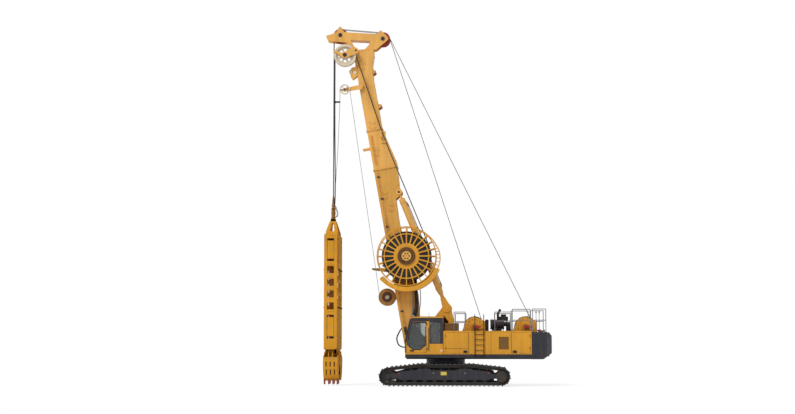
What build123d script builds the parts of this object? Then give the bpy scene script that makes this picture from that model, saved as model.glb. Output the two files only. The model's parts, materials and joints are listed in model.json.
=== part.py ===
from build123d import *
import math
import os

# Diaphragm wall grab on crawlers. X runs from the grab back to the counterweight, Y to the
# driver's right, Z up from the ground. Sizes are in millimetres, from the slewing axis.

# Fits
RUNNING = 0.5               # radial clearance of a pin in its bore
SEAT = 0.3                  # gap between curved faces that bear on each other
DOOR_GAP = 6                # round a door
SIDE_GAP = 10               # between a turning piece and the plates beside it

# Tracks
TRACK_GAUGE = 3600
SHOE_WIDTH = 800
SHOE_PITCH = 216            # wanted pitch; the real one divides the loop evenly
CHAIN_WIDTH = 300
AXLE_X = 2690
TRACK_END_RADIUS = 465
TRACK_HEIGHT = 1090
HUMP_X = 1250
HUMP_RADIUS = 900
LINK_INNER = 70             # from the pitch line in to the rail
LINK_OUTER = 60             # from the pitch line out to the shoe
SHOE_PLATE = 20
SHOE_LUG = 50
SHOE_PROFILE = [            # along the pitch, height above the plate's underside
    (-0.47, SHOE_PLATE),
    (0.16, SHOE_PLATE),
    (0.22, SHOE_PLATE + SHOE_LUG),
    (0.34, SHOE_PLATE + SHOE_LUG),
    (0.44, SHOE_PLATE),
]

# Track frames and running gear
FRAME_HALF_INNER = 200
FRAME_PLATE = 30
FRAME_SPINE = (430, 690)
FRAME_SPINE_X = 2200
FRAME_HALF_OUTLINE = [      # X, Z of the side plate's front half, from the middle of the top edge
    (0, 760),
    (620, 760),
    (700, 850),
    (1250, 850),
    (1330, 780),
    (2060, 720),
    (2240, 600),
    (2800, 590),
    (2800, 380),
    (2200, 360),
    (2100, 300),
    (0, 300),
]
BOTTOM_ROLLERS = 9
BOTTOM_ROLLER_SPACING = 475
BOTTOM_ROLLER_RADIUS = 105
TOP_ROLLER_X = 975
TOP_ROLLER_RADIUS = 80
WHEEL_RADIUS = 246
WHEEL_WIDTH = 280
ROLLER_AXLE_RADIUS = 40
DRIVE_COVER_RADIUS = 255
DRIVE_COVER_DEPTH = 95
IDLER_COVER_RADIUS = 110
TOW_EYE_RADIUS = 70
TOW_EYE_BORE = 35
TOW_EYE_THICKNESS = 50
TOW_EYE_Z = 640

# Carbody and slewing ring
CARBODY_RADIUS = 900
CARBODY_BORE = 560
CARBODY_Z = (480, 1100)
CROSS_BEAM_X = 720
CROSS_BEAM_WIDTH = 460
CROSS_BEAM_Z = (440, 720)
RING_OUTER = 940
RING_INNER = 740
RING_TOP = 1200

# Slewing frame
FRAME_FRONT = -1900
FRAME_REAR = 4150
FRAME_HALF_WIDTH = 1600
FRAME_BOTTOM = 1280
DECK_Z = 1510
DECK_PLATE = 30
GIRDER_Y = (470, 540)
EDGE_BEAM = 110
EDGE_BEAM_BOTTOM = 1340
CROSS_PLATE_X = [-1900, -1000, 1000, 2450, 4110]
CROSS_PLATE = 40
CENTRE_DISC_RADIUS = 1000

# Boom foot and boom
BOOM_LEAN = 10              # degrees from upright, towards the grab
FOOT_PIN_X = -1600
FOOT_PIN_Z = 2150
FOOT_PIN_RADIUS = 90
FOOT_TUBE_RADIUS = 160
FOOT_RADIUS = 420
BOOM_FRONT = 420            # front face ahead of the foot pin's line
BOOM_WALL = 30
LOWER_HALF_WIDTH = 450
UPPER_HALF_WIDTH = 400
LOWER_END = 8600            # along the boom
MIDDLE_END = 10600
UPPER_END = 14600
LOWER_REAR = [              # along the boom, rear face behind the foot pin's line
    (0, 420),
    (2200, 660),
    (5900, 360),
    (7500, 420),
    (7700, 690),
    (LOWER_END, 740),
]
MIDDLE_REAR = [(LOWER_END, 740), (8850, 760), (MIDDLE_END, 340)]
UPPER_REAR = [(MIDDLE_END, 340), (UPPER_END, 340)]
FLANGE_PROUD = 35
FLANGE_THICKNESS = 40
PEG_STATIONS = [(3900, 380), (9750, 330)]   # along the boom, length ahead of its front face
PEG_HALF_WIDTH = 200
PEG_RADIUS = 50

# Luffing cylinders
CYLINDER_Y = 330
BASE_PIN_X = 75
BASE_PIN_Z = 3750
LUG_ALONG = 7320
LUG_ACROSS = 610
CYLINDER_PIN_RADIUS = 55
EYE_RADIUS = 120
EYE_HALF_WIDTH = 64
LUG_PLATE = (72, 112)       # from the cylinder's centre line
LUG_RADIUS = 160
LUG_SLACK = 42              # lug hole round the rod's pin, for the drift of the linked joints
PIN_CAP_RADIUS = 135
PIN_CAP = (118, 138)
BARREL_RADIUS = 110
BARREL_END = 3600
BARREL_BORE_START = 600
ROD_RADIUS = 65
ROD_START = 950
BRACKET_RADIUS = 230
BRACKET_OUTLINE = [
    (-900, DECK_Z),
    (-900, 2550),
    (-600, 3220),
    (-110, 3840),
    (260, 3840),
    (400, 3150),
    (430, DECK_Z),
]
BRACKET_HOLE = [(-620, 2450), (-420, 3080), (-60, 3380), (150, 3100), (190, 2450)]

# Cab
CAB_Y = (-1600, -640)
CAB_WALL = 60
CAB_ROOF = 3250
CAB_OUTLINE = [
    (-1900, DECK_Z),
    (-1900, 2090),
    (-1655, 3170),
    (-1580, CAB_ROOF),
    (-75, CAB_ROOF),
    (-75, DECK_Z),
]
CAB_INNER = [
    (-1840, DECK_Z + 60),
    (-1840, 2085),
    (-1600, 3140),
    (-1550, CAB_ROOF - 60),
    (-135, CAB_ROOF - 60),
    (-135, DECK_Z + 60),
]
SCREEN_Z = (2130, 3090)
DOOR_OUTLINE = [(-1825, 1590), (-1825, 2100), (-1600, 3090), (-870, 3090), (-870, 1590)]
DOOR_WINDOW = [(-1760, 1990), (-1760, 2095), (-1570, 3010), (-930, 3010), (-930, 1965),
               (-1180, 1760), (-1520, 1760)]
DOOR_THICKNESS = 50
SIDE_WINDOW = ((-685, -215), (2055, 3030))
FAR_WINDOW = ((-1500, -215), (2055, 3030))
REAR_WINDOW = ((-1480, -760), (2120, 3030))
GLASS = 12
GLASS_INSET = 22
CAB_DOOR_HINGE_X = -860
HINGE_RADIUS = 15
HINGE_OUT = HINGE_RADIUS + SEAT     # door hinge pins outside the panel
HINGE_LEAF = 80
HINGE_LEAF_THICKNESS = 10

# Machine houses
HOUSE_FRONT = -60
HOUSE_Y = (800, 1600)
HOUSE_TOP = 2630
PANEL = 30
DOOR_Z = (1570, 2560)
HOUSE_DOORS = [             # name, side, front edge, rear edge, hinge at front
    ("house_door_front_left", -1, 20, 1120, True),
    ("house_door_rear_left", -1, 3200, 4090, False),
    ("house_door_front_right", 1, 20, 1120, True),
    ("house_door_rear_right", 1, 3200, 4090, False),
]
GRILLE_X = (2590, 3050)
GRILLE_Z = (1760, 2340)
GRILLE_BARS = 7
GRILLE_BAR = 30
HANDLE_LENGTH = 170

# Counterweight
TAIL_X = 5120
WEIGHT_FRONT = FRAME_REAR
WEIGHT_TOP = 2565
WEIGHT_OUTLINE = [
    (WEIGHT_FRONT, FRAME_BOTTOM),
    (4700, FRAME_BOTTOM),
    (TAIL_X, 1570),
    (TAIL_X, 2400),
    (4980, WEIGHT_TOP),
    (WEIGHT_FRONT, WEIGHT_TOP),
]
WEIGHT_CORNER = (250, 420)  # plan chamfer along X and Y
WEIGHT_NOTCH_X = 4640
WEIGHT_NOTCH_Y = 720
WEIGHT_NOTCH_Z = 1900
LIFT_EYE_Y = 1100
LIFT_EYE_X = 4560
LIFT_EYE_RADIUS = 90
LIFT_EYE_BORE = 45
LIFT_EYE_THICKNESS = 60
LIFT_EYE_RISE = 60

# Deck fittings
ENGINE = ((2240, 3200), (-600, 400), (DECK_Z, 2450))
CANISTER_X = (2190, 2860)
CANISTER_Y = -430
CANISTER_Z = 2960
CANISTER_RADIUS = 235
STACK_RADIUS = 60
STACK_X = 2560
STACK_TOP = 3480
STACK_TIP = (2680, 3690)
DUCT_X = 3160
DUCT_RADIUS = 95
COOLER = ((0, 670), (-1500, -900), (HOUSE_TOP, 3000))
TANK_WALL = 25
TANK = ((-1300, HOUSE_FRONT - 10), (720, 1600), (DECK_Z, 2420))
RAIL_Y = 1560
RAIL_RADIUS = 19
RAILS = [                   # front, rear, foot, mid rail, top
    (450, 980, HOUSE_TOP, 3080, 3530),
    (2400, 3190, HOUSE_TOP, 3100, 3530),
    (3240, 4080, HOUSE_TOP, 3140, 3660),
    (4200, 4830, WEIGHT_TOP, 3140, 3670),
]
LADDER_X = (1446, 1870)
LADDER_Y = -1665
LADDER_Z = (1400, 3420)
LADDER_RUNGS = 6
LADDER_RUNG_PITCH = 250
RUNG_RADIUS = 15
LADDER_FEET = (1620, 2560)
LAMP = 120
LAMP_DEPTH = 70
CAB_LAMP_Y = (-1480, -880)
CAB_LAMP_X = -1480
BEACON_X = 4660
BEACON_Y = -1350
BEACON_RADIUS = 45
BEACON_HEIGHT = 130

# Winches
WINCHES = [("front", 1420, 2830), ("rear", 3880, 2830)]    # name, X, Z
WINCH_PLATE_Y = (560, 610)
WINCH_PLATE_OUTLINE = [     # X from the drum's axis, Z
    (-600, DECK_Z),
    (-600, 2650),
    (-380, 3180),
    (-90, 3330),
    (220, 3260),
    (560, 3080),
    (560, 2000),
    (260, 1930),
    (260, DECK_Z),
]
WINCH_TIE_RADIUS = 45
WINCH_TIES = [(-480, 2050), (180, 1760)]
DRUM_FLANGE_RADIUS = 520
DRUM_CORE_RADIUS = 400
DRUM_SHELL = 40
DRUM_HALF = 540
DRUM_FLANGE = 40
DRUM_AXLE_RADIUS = 80
WINCH_DRIVE_RADIUS = 170
WINCH_DRIVE_LENGTH = 150

# Boom head and sheaves
HEAD_PLATE_Y = (240, 290)
HEAD_OUTLINE = [
    (-5935, 17375),
    (-5560, 17490),
    (-5390, 17600),
    (-5270, 17820),
    (-5170, 17820),
    (-5040, 17580),
    (-4965, 17550),
    (-3465, 17440),
    (-3310, 17480),
    (-3240, 17600),
    (-3150, 17600),
    (-2845, 17295),
    (-2800, 17170),
    (-2955, 17010),
    (-3210, 16820),
    (-3600, 16480),
    (-3812, 16585),
    (-4550, 16455),
    (-4680, 16780),
    (-4930, 17020),
    (-5300, 17060),
    (-5840, 17135),
]
HEAD_CUTOUT = [(-4675, 17145), (-3720, 17090), (-3775, 16895), (-3975, 16670), (-4300, 16650), (-4520, 16820)]
HEAD_WEBS = [               # plates across the head, each by its two edges and its thickness
    ((-4760, 17500), (-3560, 17410), 40),
    ((-4680, 17185), (-3700, 17130), 30),
    ((-4520, 16560), (-3820, 16640), 40),
]
SHEAVE_Y = 100
SHEAVE_RADIUS = 360
ROPE_CIRCLE = 335
SHEAVE_HALF_WIDTH = 45
GROOVE_HALF_WIDTH = 24
SHEAVE_PIN_RADIUS = 60
SHEAVE_WEB = 15
SHEAVES = [("front", -5215, 17405), ("rear", -3080, 17195)]
ROPE_RADIUS = 16

# Hose sheave and guide wheel, beside the boom
HOSE_SHEAVE_X = -4930
HOSE_SHEAVE_Z = 16280
HOSE_SHEAVE_RADIUS = 553
HOSE_SHEAVE_Y = (-770, -530)
HOSE_SHEAVE_AXLE = 60
HOSE_ARM_Y = [(-840, -800), (-500, -460)]
HOSE_ARM_ROOT = ((-4260, -3990), (16100, 16400))
HOSE_ARM_HALF = 110
HOSE_SHEAVE_HOLES = 8
GUIDE_X = -4940
GUIDE_Z = 14580
GUIDE_RADIUS = 250
GUIDE_Y = (-690, -600)
GUIDE_AXLE = 30
GUIDE_RIM = 45
GUIDE_SPOKES = 4
GUIDE_SPOKE_WIDTH = 45
GUIDE_ARM_Y = (-580, -545)
GUIDE_ARM_ROOT = (12180, 12420)     # along the boom

# Hose reel, on the boom's near side
REEL_X = -1850
REEL_Z = 6250
REEL_AXLE_RADIUS = 100
REEL_NEAR = -1260
REEL_FAR = -620
REEL_FLANGE = 30
REEL_HUB_TUBE = 160
REEL_DRUM_RADIUS = 630
REEL_RING = (1050, 1110)
REEL_RIM = (1405, 1450)
REEL_SPOKES = 24
REEL_SPOKE_WIDTH = 44
REEL_GEAR = (240, 435)
REEL_GEAR_PROUD = 50
REEL_CAP_RADIUS = 232
REEL_CAP = (-1340, -1300)
REEL_COIL = (1200, 1230)
REEL_PAD_RADIUS = 320
REEL_PAD = 70
GUARD_RADII = (1490, 1710)
GUARD_SHELL = 20
GUARD_ANGLES = (-140, -22)  # degrees, from the tail's side
GUARD_Y = (-1300, -580)
GUARD_FEET = [(-1900, 4660), (-2080, 4690)]
GUARD_FOOT = 160

# Cable reel, ahead of the boom
CABLE_REEL_X = -2850
CABLE_REEL_Z = 4300
CABLE_REEL_RADIUS = 425
CABLE_REEL_CORE = 250
CABLE_REEL_Y = (-330, -30)
CABLE_REEL_FLANGE = 45
CABLE_REEL_AXLE = 50
CABLE_BRACKET_Y = (-20, 30)
CABLE_BRACKET_HALF = 120

# Grab
GRAB_X = SHEAVES[0][1] - ROPE_CIRCLE
GRAB_HALF_X = 320
GRAB_HALF_Y = 1200
GRAB_Z = (1750, 7350)
GRAB_WALL = 40
GRAB_CHAMFER = 90
END_WINDOW_WIDTH = 330
END_WINDOWS = [(5440, 5780), (4820, 5160), (4260, 4600), (3680, 4020)]
END_FLAPS = [(6030, 7140), (2270, 3420)]
BROAD_FLAP_WIDTH = 420
BROAD_FLAP_Y = [-800, 800]
BROAD_WINDOW = 460
BROAD_WINDOWS = [(y, z) for y in (-700, 0, 700) for z in (4150, 4780, 5410)]
FLAP_THICKNESS = 25
FLAP_SIDE_GAP = 12
FLAP_END_GAP = 110
FLAP_PIN_RADIUS = 22
HEAD_BASE_Z = GRAB_Z[1]
HEAD_TOP_Z = 8180
GRAB_HEAD_OUTLINE = [(-300, HEAD_BASE_Z), (-300, 7480), (-120, 8040), (-120, HEAD_TOP_Z),
                     (120, HEAD_TOP_Z), (120, 8040), (300, 7480), (300, HEAD_BASE_Z)]
GRAB_HEAD_SLOT = [(-190, 7450), (-60, 7960), (60, 7960), (190, 7450)]
GRAB_HEAD_Y = (140, 190)
GRAB_HEAD_SPAN = [(HEAD_BASE_Z, 7420), (8060, HEAD_TOP_Z)]
SWIVEL_RADIUS = 70
SWIVEL_TOP = 8620
SWIVEL_HOUSING_RADIUS = 165
SWIVEL_HOUSING_Z = (8192, 8720)
ROPE_PLATE_Z = (8720, 8960)
ROPE_PLATE_HALF = (55, 190)
SOCKET_RADII = (34, 60)
SOCKET_TOP = 9330

# Jaws, at rest part open, drawn for the near side
JAW_PIVOT_Y = -350
JAW_PIVOT_Z = 1510
JAW_PIN_RADIUS = 60
JAW_PIN_HALF = 385
JAW_HALF_X = 355
JAW_SIDE = 35
JAW_BACK = 40
JAW_HUB_RADIUS = 140
JAW_HUB_HALF = 380
JAW_BACK_OUTLINE = [(-691, 235), (-1000, 523), (-1150, 870), (-1190, 1180), (-1175, 1370)]
JAW_INNER_OUTLINE = [(-500, 1585), (-260, 1600), (-215, 1480), (-184, 1114)]
JAW_SLOT_X = [-200, 0, 200]
JAW_SLOT_Z = [1040, 660]
JAW_SLOT = (56, 240)
JAW_BRACKET_X = (240, 310)
JAW_BRACKET_OUTLINE = [(-700, 2000), (-700, 1750), (-480, 1500), (-350, 1380), (350, 1380),
                       (480, 1500), (700, 1750), (700, 2000)]
JAW_LUG_RADIUS = 110
JAW_LUG_REACH = 560
JAW_LUG_ANGLE = 164
JAW_LUG_X = (75, 115)
JAW_LUG_BORE = 60
JAW_LUG_OUTLINE = [(-1130, 1000), (-1150, 1360), (-985, 1705), (-800, 1600), (-900, 1150)]
NEAR_TEETH_X = [-315, -105, 105, 315]
FAR_TEETH_X = [-210, 0, 210]
TOOTH_WIDTH = 80
TOOTH_OUTLINE = [(-691, 235), (-800.8, 337.3), (-835, 300), (-756, 60), (-722, 60)]

# Jaw cylinder and linkage
LINK_LENGTH = 1600
LINK_HALF = 60
LINK_WIDTH = 130
LINK_EYE_RADIUS = 100
LINK_PIN_RADIUS = 45
CROSSHEAD_PIN_Y = 140
CROSSHEAD = (200, 270, 120)     # half sizes along X, Y and Z
CROSSHEAD_SLOT = 72
JAW_CYLINDER_RADIUS = 150
JAW_CYLINDER_Z = (4200, 6900)
JAW_CYLINDER_BORE_TOP = 6500
JAW_ROD_RADIUS = 75
JAW_ROD_TOP = 5900
CYLINDER_MOUNT_Z = (6900, 7310)

# Places that follow from the sizes above
FRONT_X = min(HEAD_OUTLINE[0][0], GRAB_X - JAW_PIN_HALF)
CENTRE_X = (FRONT_X + TAIL_X) / 2
FRAME_HALF_OUTER = FRAME_HALF_INNER + FRAME_PLATE
SHOE_OUTER = LINK_OUTER + SHOE_PLATE + SHOE_LUG
RAIL_DEPTH = SHOE_OUTER + LINK_INNER


# Shapes used throughout
def slab(outline, y_low, y_high, gap=0):
    """Solid with an outline in X and Z, moved inwards by a gap, between two values of Y."""
    face = make_face(Polyline(*outline, close=True))
    if gap:
        face = offset(face, amount=-gap, kind=Kind.INTERSECTION)
    return Pos(0, y_low, 0) * extrude(Plane.XZ * face, amount=y_high - y_low, dir=(0, 1, 0))


def slab_x(outline, x_low, x_high):
    """Solid with an outline in Y and Z, between two values of X."""
    face = Plane.YZ * make_face(Polyline(*outline, close=True))
    return Pos(x_low, 0, 0) * extrude(face, amount=x_high - x_low, dir=(1, 0, 0))


def block(x, y, z):
    """Box between a low and a high value on each axis."""
    box = Box(x[1] - x[0], y[1] - y[0], z[1] - z[0])
    return Pos((x[0] + x[1]) / 2, (y[0] + y[1]) / 2, (z[0] + z[1]) / 2) * box


def bar_y(x, z, radius, y_low, y_high):
    """Round bar along Y."""
    return Pos(x, (y_low + y_high) / 2, z) * Rot(90, 0, 0) * Cylinder(radius, y_high - y_low)


def bar_x(y, z, radius, x_low, x_high):
    """Round bar along X."""
    return Pos((x_low + x_high) / 2, y, z) * Rot(0, 90, 0) * Cylinder(radius, x_high - x_low)


def post(x, y, radius, z_low, z_high):
    """Round bar along Z."""
    return Pos(x, y, (z_low + z_high) / 2) * Cylinder(radius, z_high - z_low)


def rod(start, end, radius):
    """Round bar between two points."""
    line = Vector(*end) - Vector(*start)
    align = (Align.CENTER, Align.CENTER, Align.MIN)
    return Plane(origin=start, z_dir=line) * Cylinder(radius, line.length, align=align)


def fused(shapes):
    """One shape from several, fused where they meet."""
    return Part() + list(shapes)


def group(shapes):
    """Several solids kept apart in one node."""
    solids = []
    for shape in shapes:
        solids.extend(shape.solids())
    return Compound(solids)


def both_sides(shape):
    """A shape and its mirror image across the machine's middle plane."""
    return [shape, mirror(shape, about=Plane.XZ)]


def in_span(near, far, side):
    """Low and high Y of a span given outwards from the middle, on one side."""
    return sorted((side * near, side * far))


def wedge(x, z, reach, angles, y_low, y_high):
    """Sector of a plane disc about a Y axis, wide enough to cut a ring with."""
    steps = 8
    points = [(x, z)]
    for step in range(steps + 1):
        angle = math.radians(angles[0] + (angles[1] - angles[0]) * step / steps)
        points.append((x + reach * math.cos(angle), z + reach * math.sin(angle)))
    return slab(points, y_low, y_high)


def tube_y(x, z, outer, inner, y_low, y_high):
    """Ring about a Y axis."""
    return bar_y(x, z, outer, y_low, y_high) - bar_y(x, z, inner, y_low, y_high)


def on_boom(along, across):
    """X and Z of a point of the boom: along it from the foot pin, and across towards the tail."""
    lean = math.radians(BOOM_LEAN)
    x = FOOT_PIN_X - along * math.sin(lean) + across * math.cos(lean)
    z = FOOT_PIN_Z + along * math.cos(lean) + across * math.sin(lean)
    return x, z


# Tracks
def belt_runs(circles):
    """Straight runs and arcs of a belt round circles of X, Z and radius, in belt order."""
    straights = []
    for (x1, z1, r1), (x2, z2, r2) in zip(circles, circles[1:] + circles[:1]):
        span = math.hypot(x2 - x1, z2 - z1)
        ex, ez = (x2 - x1) / span, (z2 - z1) / span
        lean = math.asin((r1 - r2) / span)
        nx = math.cos(lean) * ez + math.sin(lean) * ex
        nz = -math.cos(lean) * ex + math.sin(lean) * ez
        straights.append((x1 + r1 * nx, z1 + r1 * nz, x2 + r2 * nx, z2 + r2 * nz, nx, nz))
    runs = []
    for index, (x1, z1, x2, z2, nx, nz) in enumerate(straights):
        runs.append((math.hypot(x2 - x1, z2 - z1), (x1, z1, x2, z2, nx, nz), None))
        cx, cz, radius = circles[(index + 1) % len(circles)]
        next_nx, next_nz = straights[(index + 1) % len(circles)][4:]
        start = math.atan2(nz, nx)
        turn = (math.atan2(next_nz, next_nx) - start) % (2 * math.pi)
        runs.append((radius * turn, None, (cx, cz, radius, start, turn)))
    return runs


def belt_frame(runs, distance):
    """Point of the belt and its outward direction, at a distance along it."""
    distance %= sum(run[0] for run in runs)
    for length, straight, arc in runs:
        if distance <= length:
            break
        distance -= length
    if straight:
        x1, z1, x2, z2, nx, nz = straight
        part = distance / length
        return x1 + (x2 - x1) * part, z1 + (z2 - z1) * part, nx, nz
    cx, cz, radius, start, turn = arc
    angle = start + turn * distance / length
    nx, nz = math.cos(angle), math.sin(angle)
    return cx + radius * nx, cz + radius * nz, nx, nz


def track(side):
    """Fixed loop of shoes on a narrower chain."""
    end = TRACK_END_RADIUS - SHOE_OUTER
    hump = HUMP_RADIUS - SHOE_OUTER
    hump_z = TRACK_HEIGHT - HUMP_RADIUS
    runs = belt_runs([
        (-AXLE_X, TRACK_END_RADIUS, end),
        (AXLE_X, TRACK_END_RADIUS, end),
        (HUMP_X, hump_z, hump),
        (-HUMP_X, hump_z, hump),
    ])
    length = sum(run[0] for run in runs)
    count = round(length / SHOE_PITCH)
    pitch = length / count
    outer, under, inner = [], [], []
    for index in range(count):
        x, z, nx, nz = belt_frame(runs, index * pitch)
        for along, height in SHOE_PROFILE:
            reach = LINK_OUTER + height
            outer.append((x - nz * along * pitch + nx * reach, z + nx * along * pitch + nz * reach))
        x, z, nx, nz = belt_frame(runs, (index + 0.5) * pitch)
        under.append((x + nx * LINK_OUTER, z + nz * LINK_OUTER))
        inner.append((x - nx * LINK_INNER, z - nz * LINK_INNER))
    centre = side * TRACK_GAUGE / 2
    shoes_y = (centre - SHOE_WIDTH / 2, centre + SHOE_WIDTH / 2)
    chain_y = (centre - CHAIN_WIDTH / 2, centre + CHAIN_WIDTH / 2)
    shoes = slab(outer, *shoes_y) - slab(under, *shoes_y)
    chain = slab(under, *chain_y) - slab(inner, *chain_y)
    return fused([shoes, chain])


def track_frame(side):
    """Side plates, spine and tow eyes of one track."""
    centre = side * TRACK_GAUGE / 2
    outline = FRAME_HALF_OUTLINE + [(-x, z) for x, z in FRAME_HALF_OUTLINE[-2:0:-1]]
    plates = []
    for sign in (-1, 1):
        plates.append(slab(outline, *[centre + y for y in in_span(FRAME_HALF_INNER, FRAME_HALF_OUTER, sign)]))
    spine = block((-FRAME_SPINE_X, FRAME_SPINE_X),
                  (centre - FRAME_HALF_INNER, centre + FRAME_HALF_INNER), FRAME_SPINE)
    return fused([*plates, spine])


def running_gear(side):
    """Idler, sprocket, rollers and the covers outside the frame."""
    centre = side * TRACK_GAUGE / 2
    bottom_z = RAIL_DEPTH + SEAT + BOTTOM_ROLLER_RADIUS
    top_z = TRACK_HEIGHT - RAIL_DEPTH - SEAT - TOP_ROLLER_RADIUS - TOP_ROLLER_SAG
    first = -(BOTTOM_ROLLERS - 1) / 2 * BOTTOM_ROLLER_SPACING
    wheels = [(sign * AXLE_X, TRACK_END_RADIUS, WHEEL_RADIUS) for sign in (-1, 1)]
    wheels += [(first + n * BOTTOM_ROLLER_SPACING, bottom_z, BOTTOM_ROLLER_RADIUS) for n in range(BOTTOM_ROLLERS)]
    wheels += [(sign * TOP_ROLLER_X, top_z, TOP_ROLLER_RADIUS) for sign in (-1, 1)]
    solids = []
    for x, z, radius in wheels:
        wheel = bar_y(x, z, radius, centre - WHEEL_WIDTH / 2, centre + WHEEL_WIDTH / 2)
        axle = bar_y(x, z, ROLLER_AXLE_RADIUS, centre - FRAME_HALF_INNER, centre + FRAME_HALF_INNER)
        solids.append(fused([wheel, axle]))
    for x, radius in ((AXLE_X, DRIVE_COVER_RADIUS), (-AXLE_X, IDLER_COVER_RADIUS)):
        span = in_span(FRAME_HALF_OUTER, FRAME_HALF_OUTER + DRIVE_COVER_DEPTH, side)
        solids.append(bar_y(x, TRACK_END_RADIUS, radius, *[centre + y for y in span]))
    return group(solids)


def carbody():
    """Ring pedestal on two cross beams between the track frames, with tow eyes fore and aft."""
    reach = TRACK_GAUGE / 2 - FRAME_HALF_OUTER
    pedestal = post(0, 0, CARBODY_RADIUS, *CARBODY_Z) - post(0, 0, CARBODY_BORE, *CARBODY_Z)
    beams = []
    for sign in (-1, 1):
        centre = sign * CROSS_BEAM_X
        beams.append(block((centre - CROSS_BEAM_WIDTH / 2, centre + CROSS_BEAM_WIDTH / 2),
                           (-reach, reach), CROSS_BEAM_Z))
    bored = fused([pedestal, *beams]) - post(0, 0, CARBODY_BORE, *CARBODY_Z)
    face = CROSS_BEAM_X + CROSS_BEAM_WIDTH / 2
    eyes = []
    for sign in (-1, 1):
        centre = sign * (face + TOW_EYE_RADIUS)
        half = TOW_EYE_THICKNESS / 2
        eye = fused([bar_y(centre, TOW_EYE_Z, TOW_EYE_RADIUS, -half, half),
                     block(sorted((sign * (face - 10), centre)), (-half, half),
                           (TOW_EYE_Z - TOW_EYE_RADIUS, TOW_EYE_Z + TOW_EYE_RADIUS))])
        eyes.append(eye - bar_y(centre, TOW_EYE_Z, TOW_EYE_BORE, -half, half))
    return fused([bored, *eyes])


def slew_ring():
    """Fixed race of the slewing bearing."""
    return post(0, 0, RING_OUTER, CARBODY_Z[1], RING_TOP) - post(0, 0, RING_INNER, CARBODY_Z[1], RING_TOP)


# Upper works
def slewing_frame():
    """Deck plate on girders, edge beams and cross plates, with the turning race below."""
    deck_under = DECK_Z - DECK_PLATE
    pieces = [block((FRAME_FRONT, FRAME_REAR), (-FRAME_HALF_WIDTH, FRAME_HALF_WIDTH), (deck_under, DECK_Z))]
    for side in (-1, 1):
        pieces.append(block((FRAME_FRONT, FRAME_REAR), in_span(*GIRDER_Y, side), (FRAME_BOTTOM, deck_under)))
        edge = in_span(FRAME_HALF_WIDTH - EDGE_BEAM, FRAME_HALF_WIDTH, side)
        pieces.append(block((FRAME_FRONT, FRAME_REAR), edge, (EDGE_BEAM_BOTTOM, deck_under)))
    for x in CROSS_PLATE_X:
        pieces.append(block((x, x + CROSS_PLATE), (-FRAME_HALF_WIDTH, FRAME_HALF_WIDTH), (EDGE_BEAM_BOTTOM, deck_under)))
    disc = post(0, 0, CENTRE_DISC_RADIUS, FRAME_BOTTOM, FRAME_BOTTOM + DECK_PLATE)
    race_z = (RING_TOP + RUNNING, FRAME_BOTTOM)
    race = post(0, 0, RING_OUTER, *race_z) - post(0, 0, RING_INNER, *race_z)
    return fused([*pieces, disc, race])


def boom_foot_brackets():
    """Cheek plates on the girders with the foot pin between them."""
    outline = [(FRAME_FRONT, DECK_Z), (FOOT_PIN_X - 200, FOOT_PIN_Z), (FOOT_PIN_X + 200, FOOT_PIN_Z),
               (FOOT_PIN_X + 450, DECK_Z)]
    near = LOWER_HALF_WIDTH + SIDE_GAP
    cheeks = []
    for side in (-1, 1):
        span = in_span(near, GIRDER_Y[1], side)
        cheeks.append(fused([slab(outline, *span), bar_y(FOOT_PIN_X, FOOT_PIN_Z, 200, *span)]))
    pin = bar_y(FOOT_PIN_X, FOOT_PIN_Z, FOOT_PIN_RADIUS, -GIRDER_Y[1] - 30, GIRDER_Y[1] + 30)
    return fused([*cheeks, pin])


def luff_brackets():
    """A-shaped plates each side of the luffing cylinders, with their base pins."""
    plates = []
    for side in (-1, 1):
        centre = side * CYLINDER_Y
        for sign in (-1, 1):
            span = [centre + y for y in in_span(*LUG_PLATE, sign)]
            plate = fused([slab(BRACKET_OUTLINE, *span), bar_y(BASE_PIN_X, BASE_PIN_Z, BRACKET_RADIUS, *span)])
            plates.append(plate - slab(BRACKET_HOLE, *span))
        plates.append(bar_y(BASE_PIN_X, BASE_PIN_Z, CYLINDER_PIN_RADIUS, centre - LUG_PLATE[1], centre + LUG_PLATE[1]))
    reach = CYLINDER_Y + LUG_PLATE[1]
    ties = [block((x, x + 60), (-reach, reach), (1800, 2350)) for x in (-860, 330)]
    return fused([*plates, *ties])


def screen_x(z):
    """X of the cab's slanted front at a height."""
    (x_low, z_low), (x_high, z_high) = CAB_OUTLINE[1], CAB_OUTLINE[2]
    return x_low + (x_high - x_low) * (z - z_low) / (z_high - z_low)


def cab_shell():
    """Hollow cab with its door and window openings."""
    inside_y = (CAB_Y[0] + CAB_WALL, CAB_Y[1] - CAB_WALL)
    shell = slab(CAB_OUTLINE, *CAB_Y) - slab(CAB_INNER, *inside_y)
    screen = [(screen_x(z) + shift, z) for z, shift in
              ((SCREEN_Z[0], -200), (SCREEN_Z[0], 200), (SCREEN_Z[1], 200), (SCREEN_Z[1], -200))]
    openings = [slab(screen, *inside_y), slab(DOOR_OUTLINE, CAB_Y[0] - 10, inside_y[0] + 10)]
    openings.append(block(SIDE_WINDOW[0], (CAB_Y[0] - 10, inside_y[0] + 10), SIDE_WINDOW[1]))
    openings.append(block(FAR_WINDOW[0], (inside_y[1] - 10, CAB_Y[1] + 10), FAR_WINDOW[1]))
    openings.append(block((-150, -60), *REAR_WINDOW))
    return shell - openings


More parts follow.
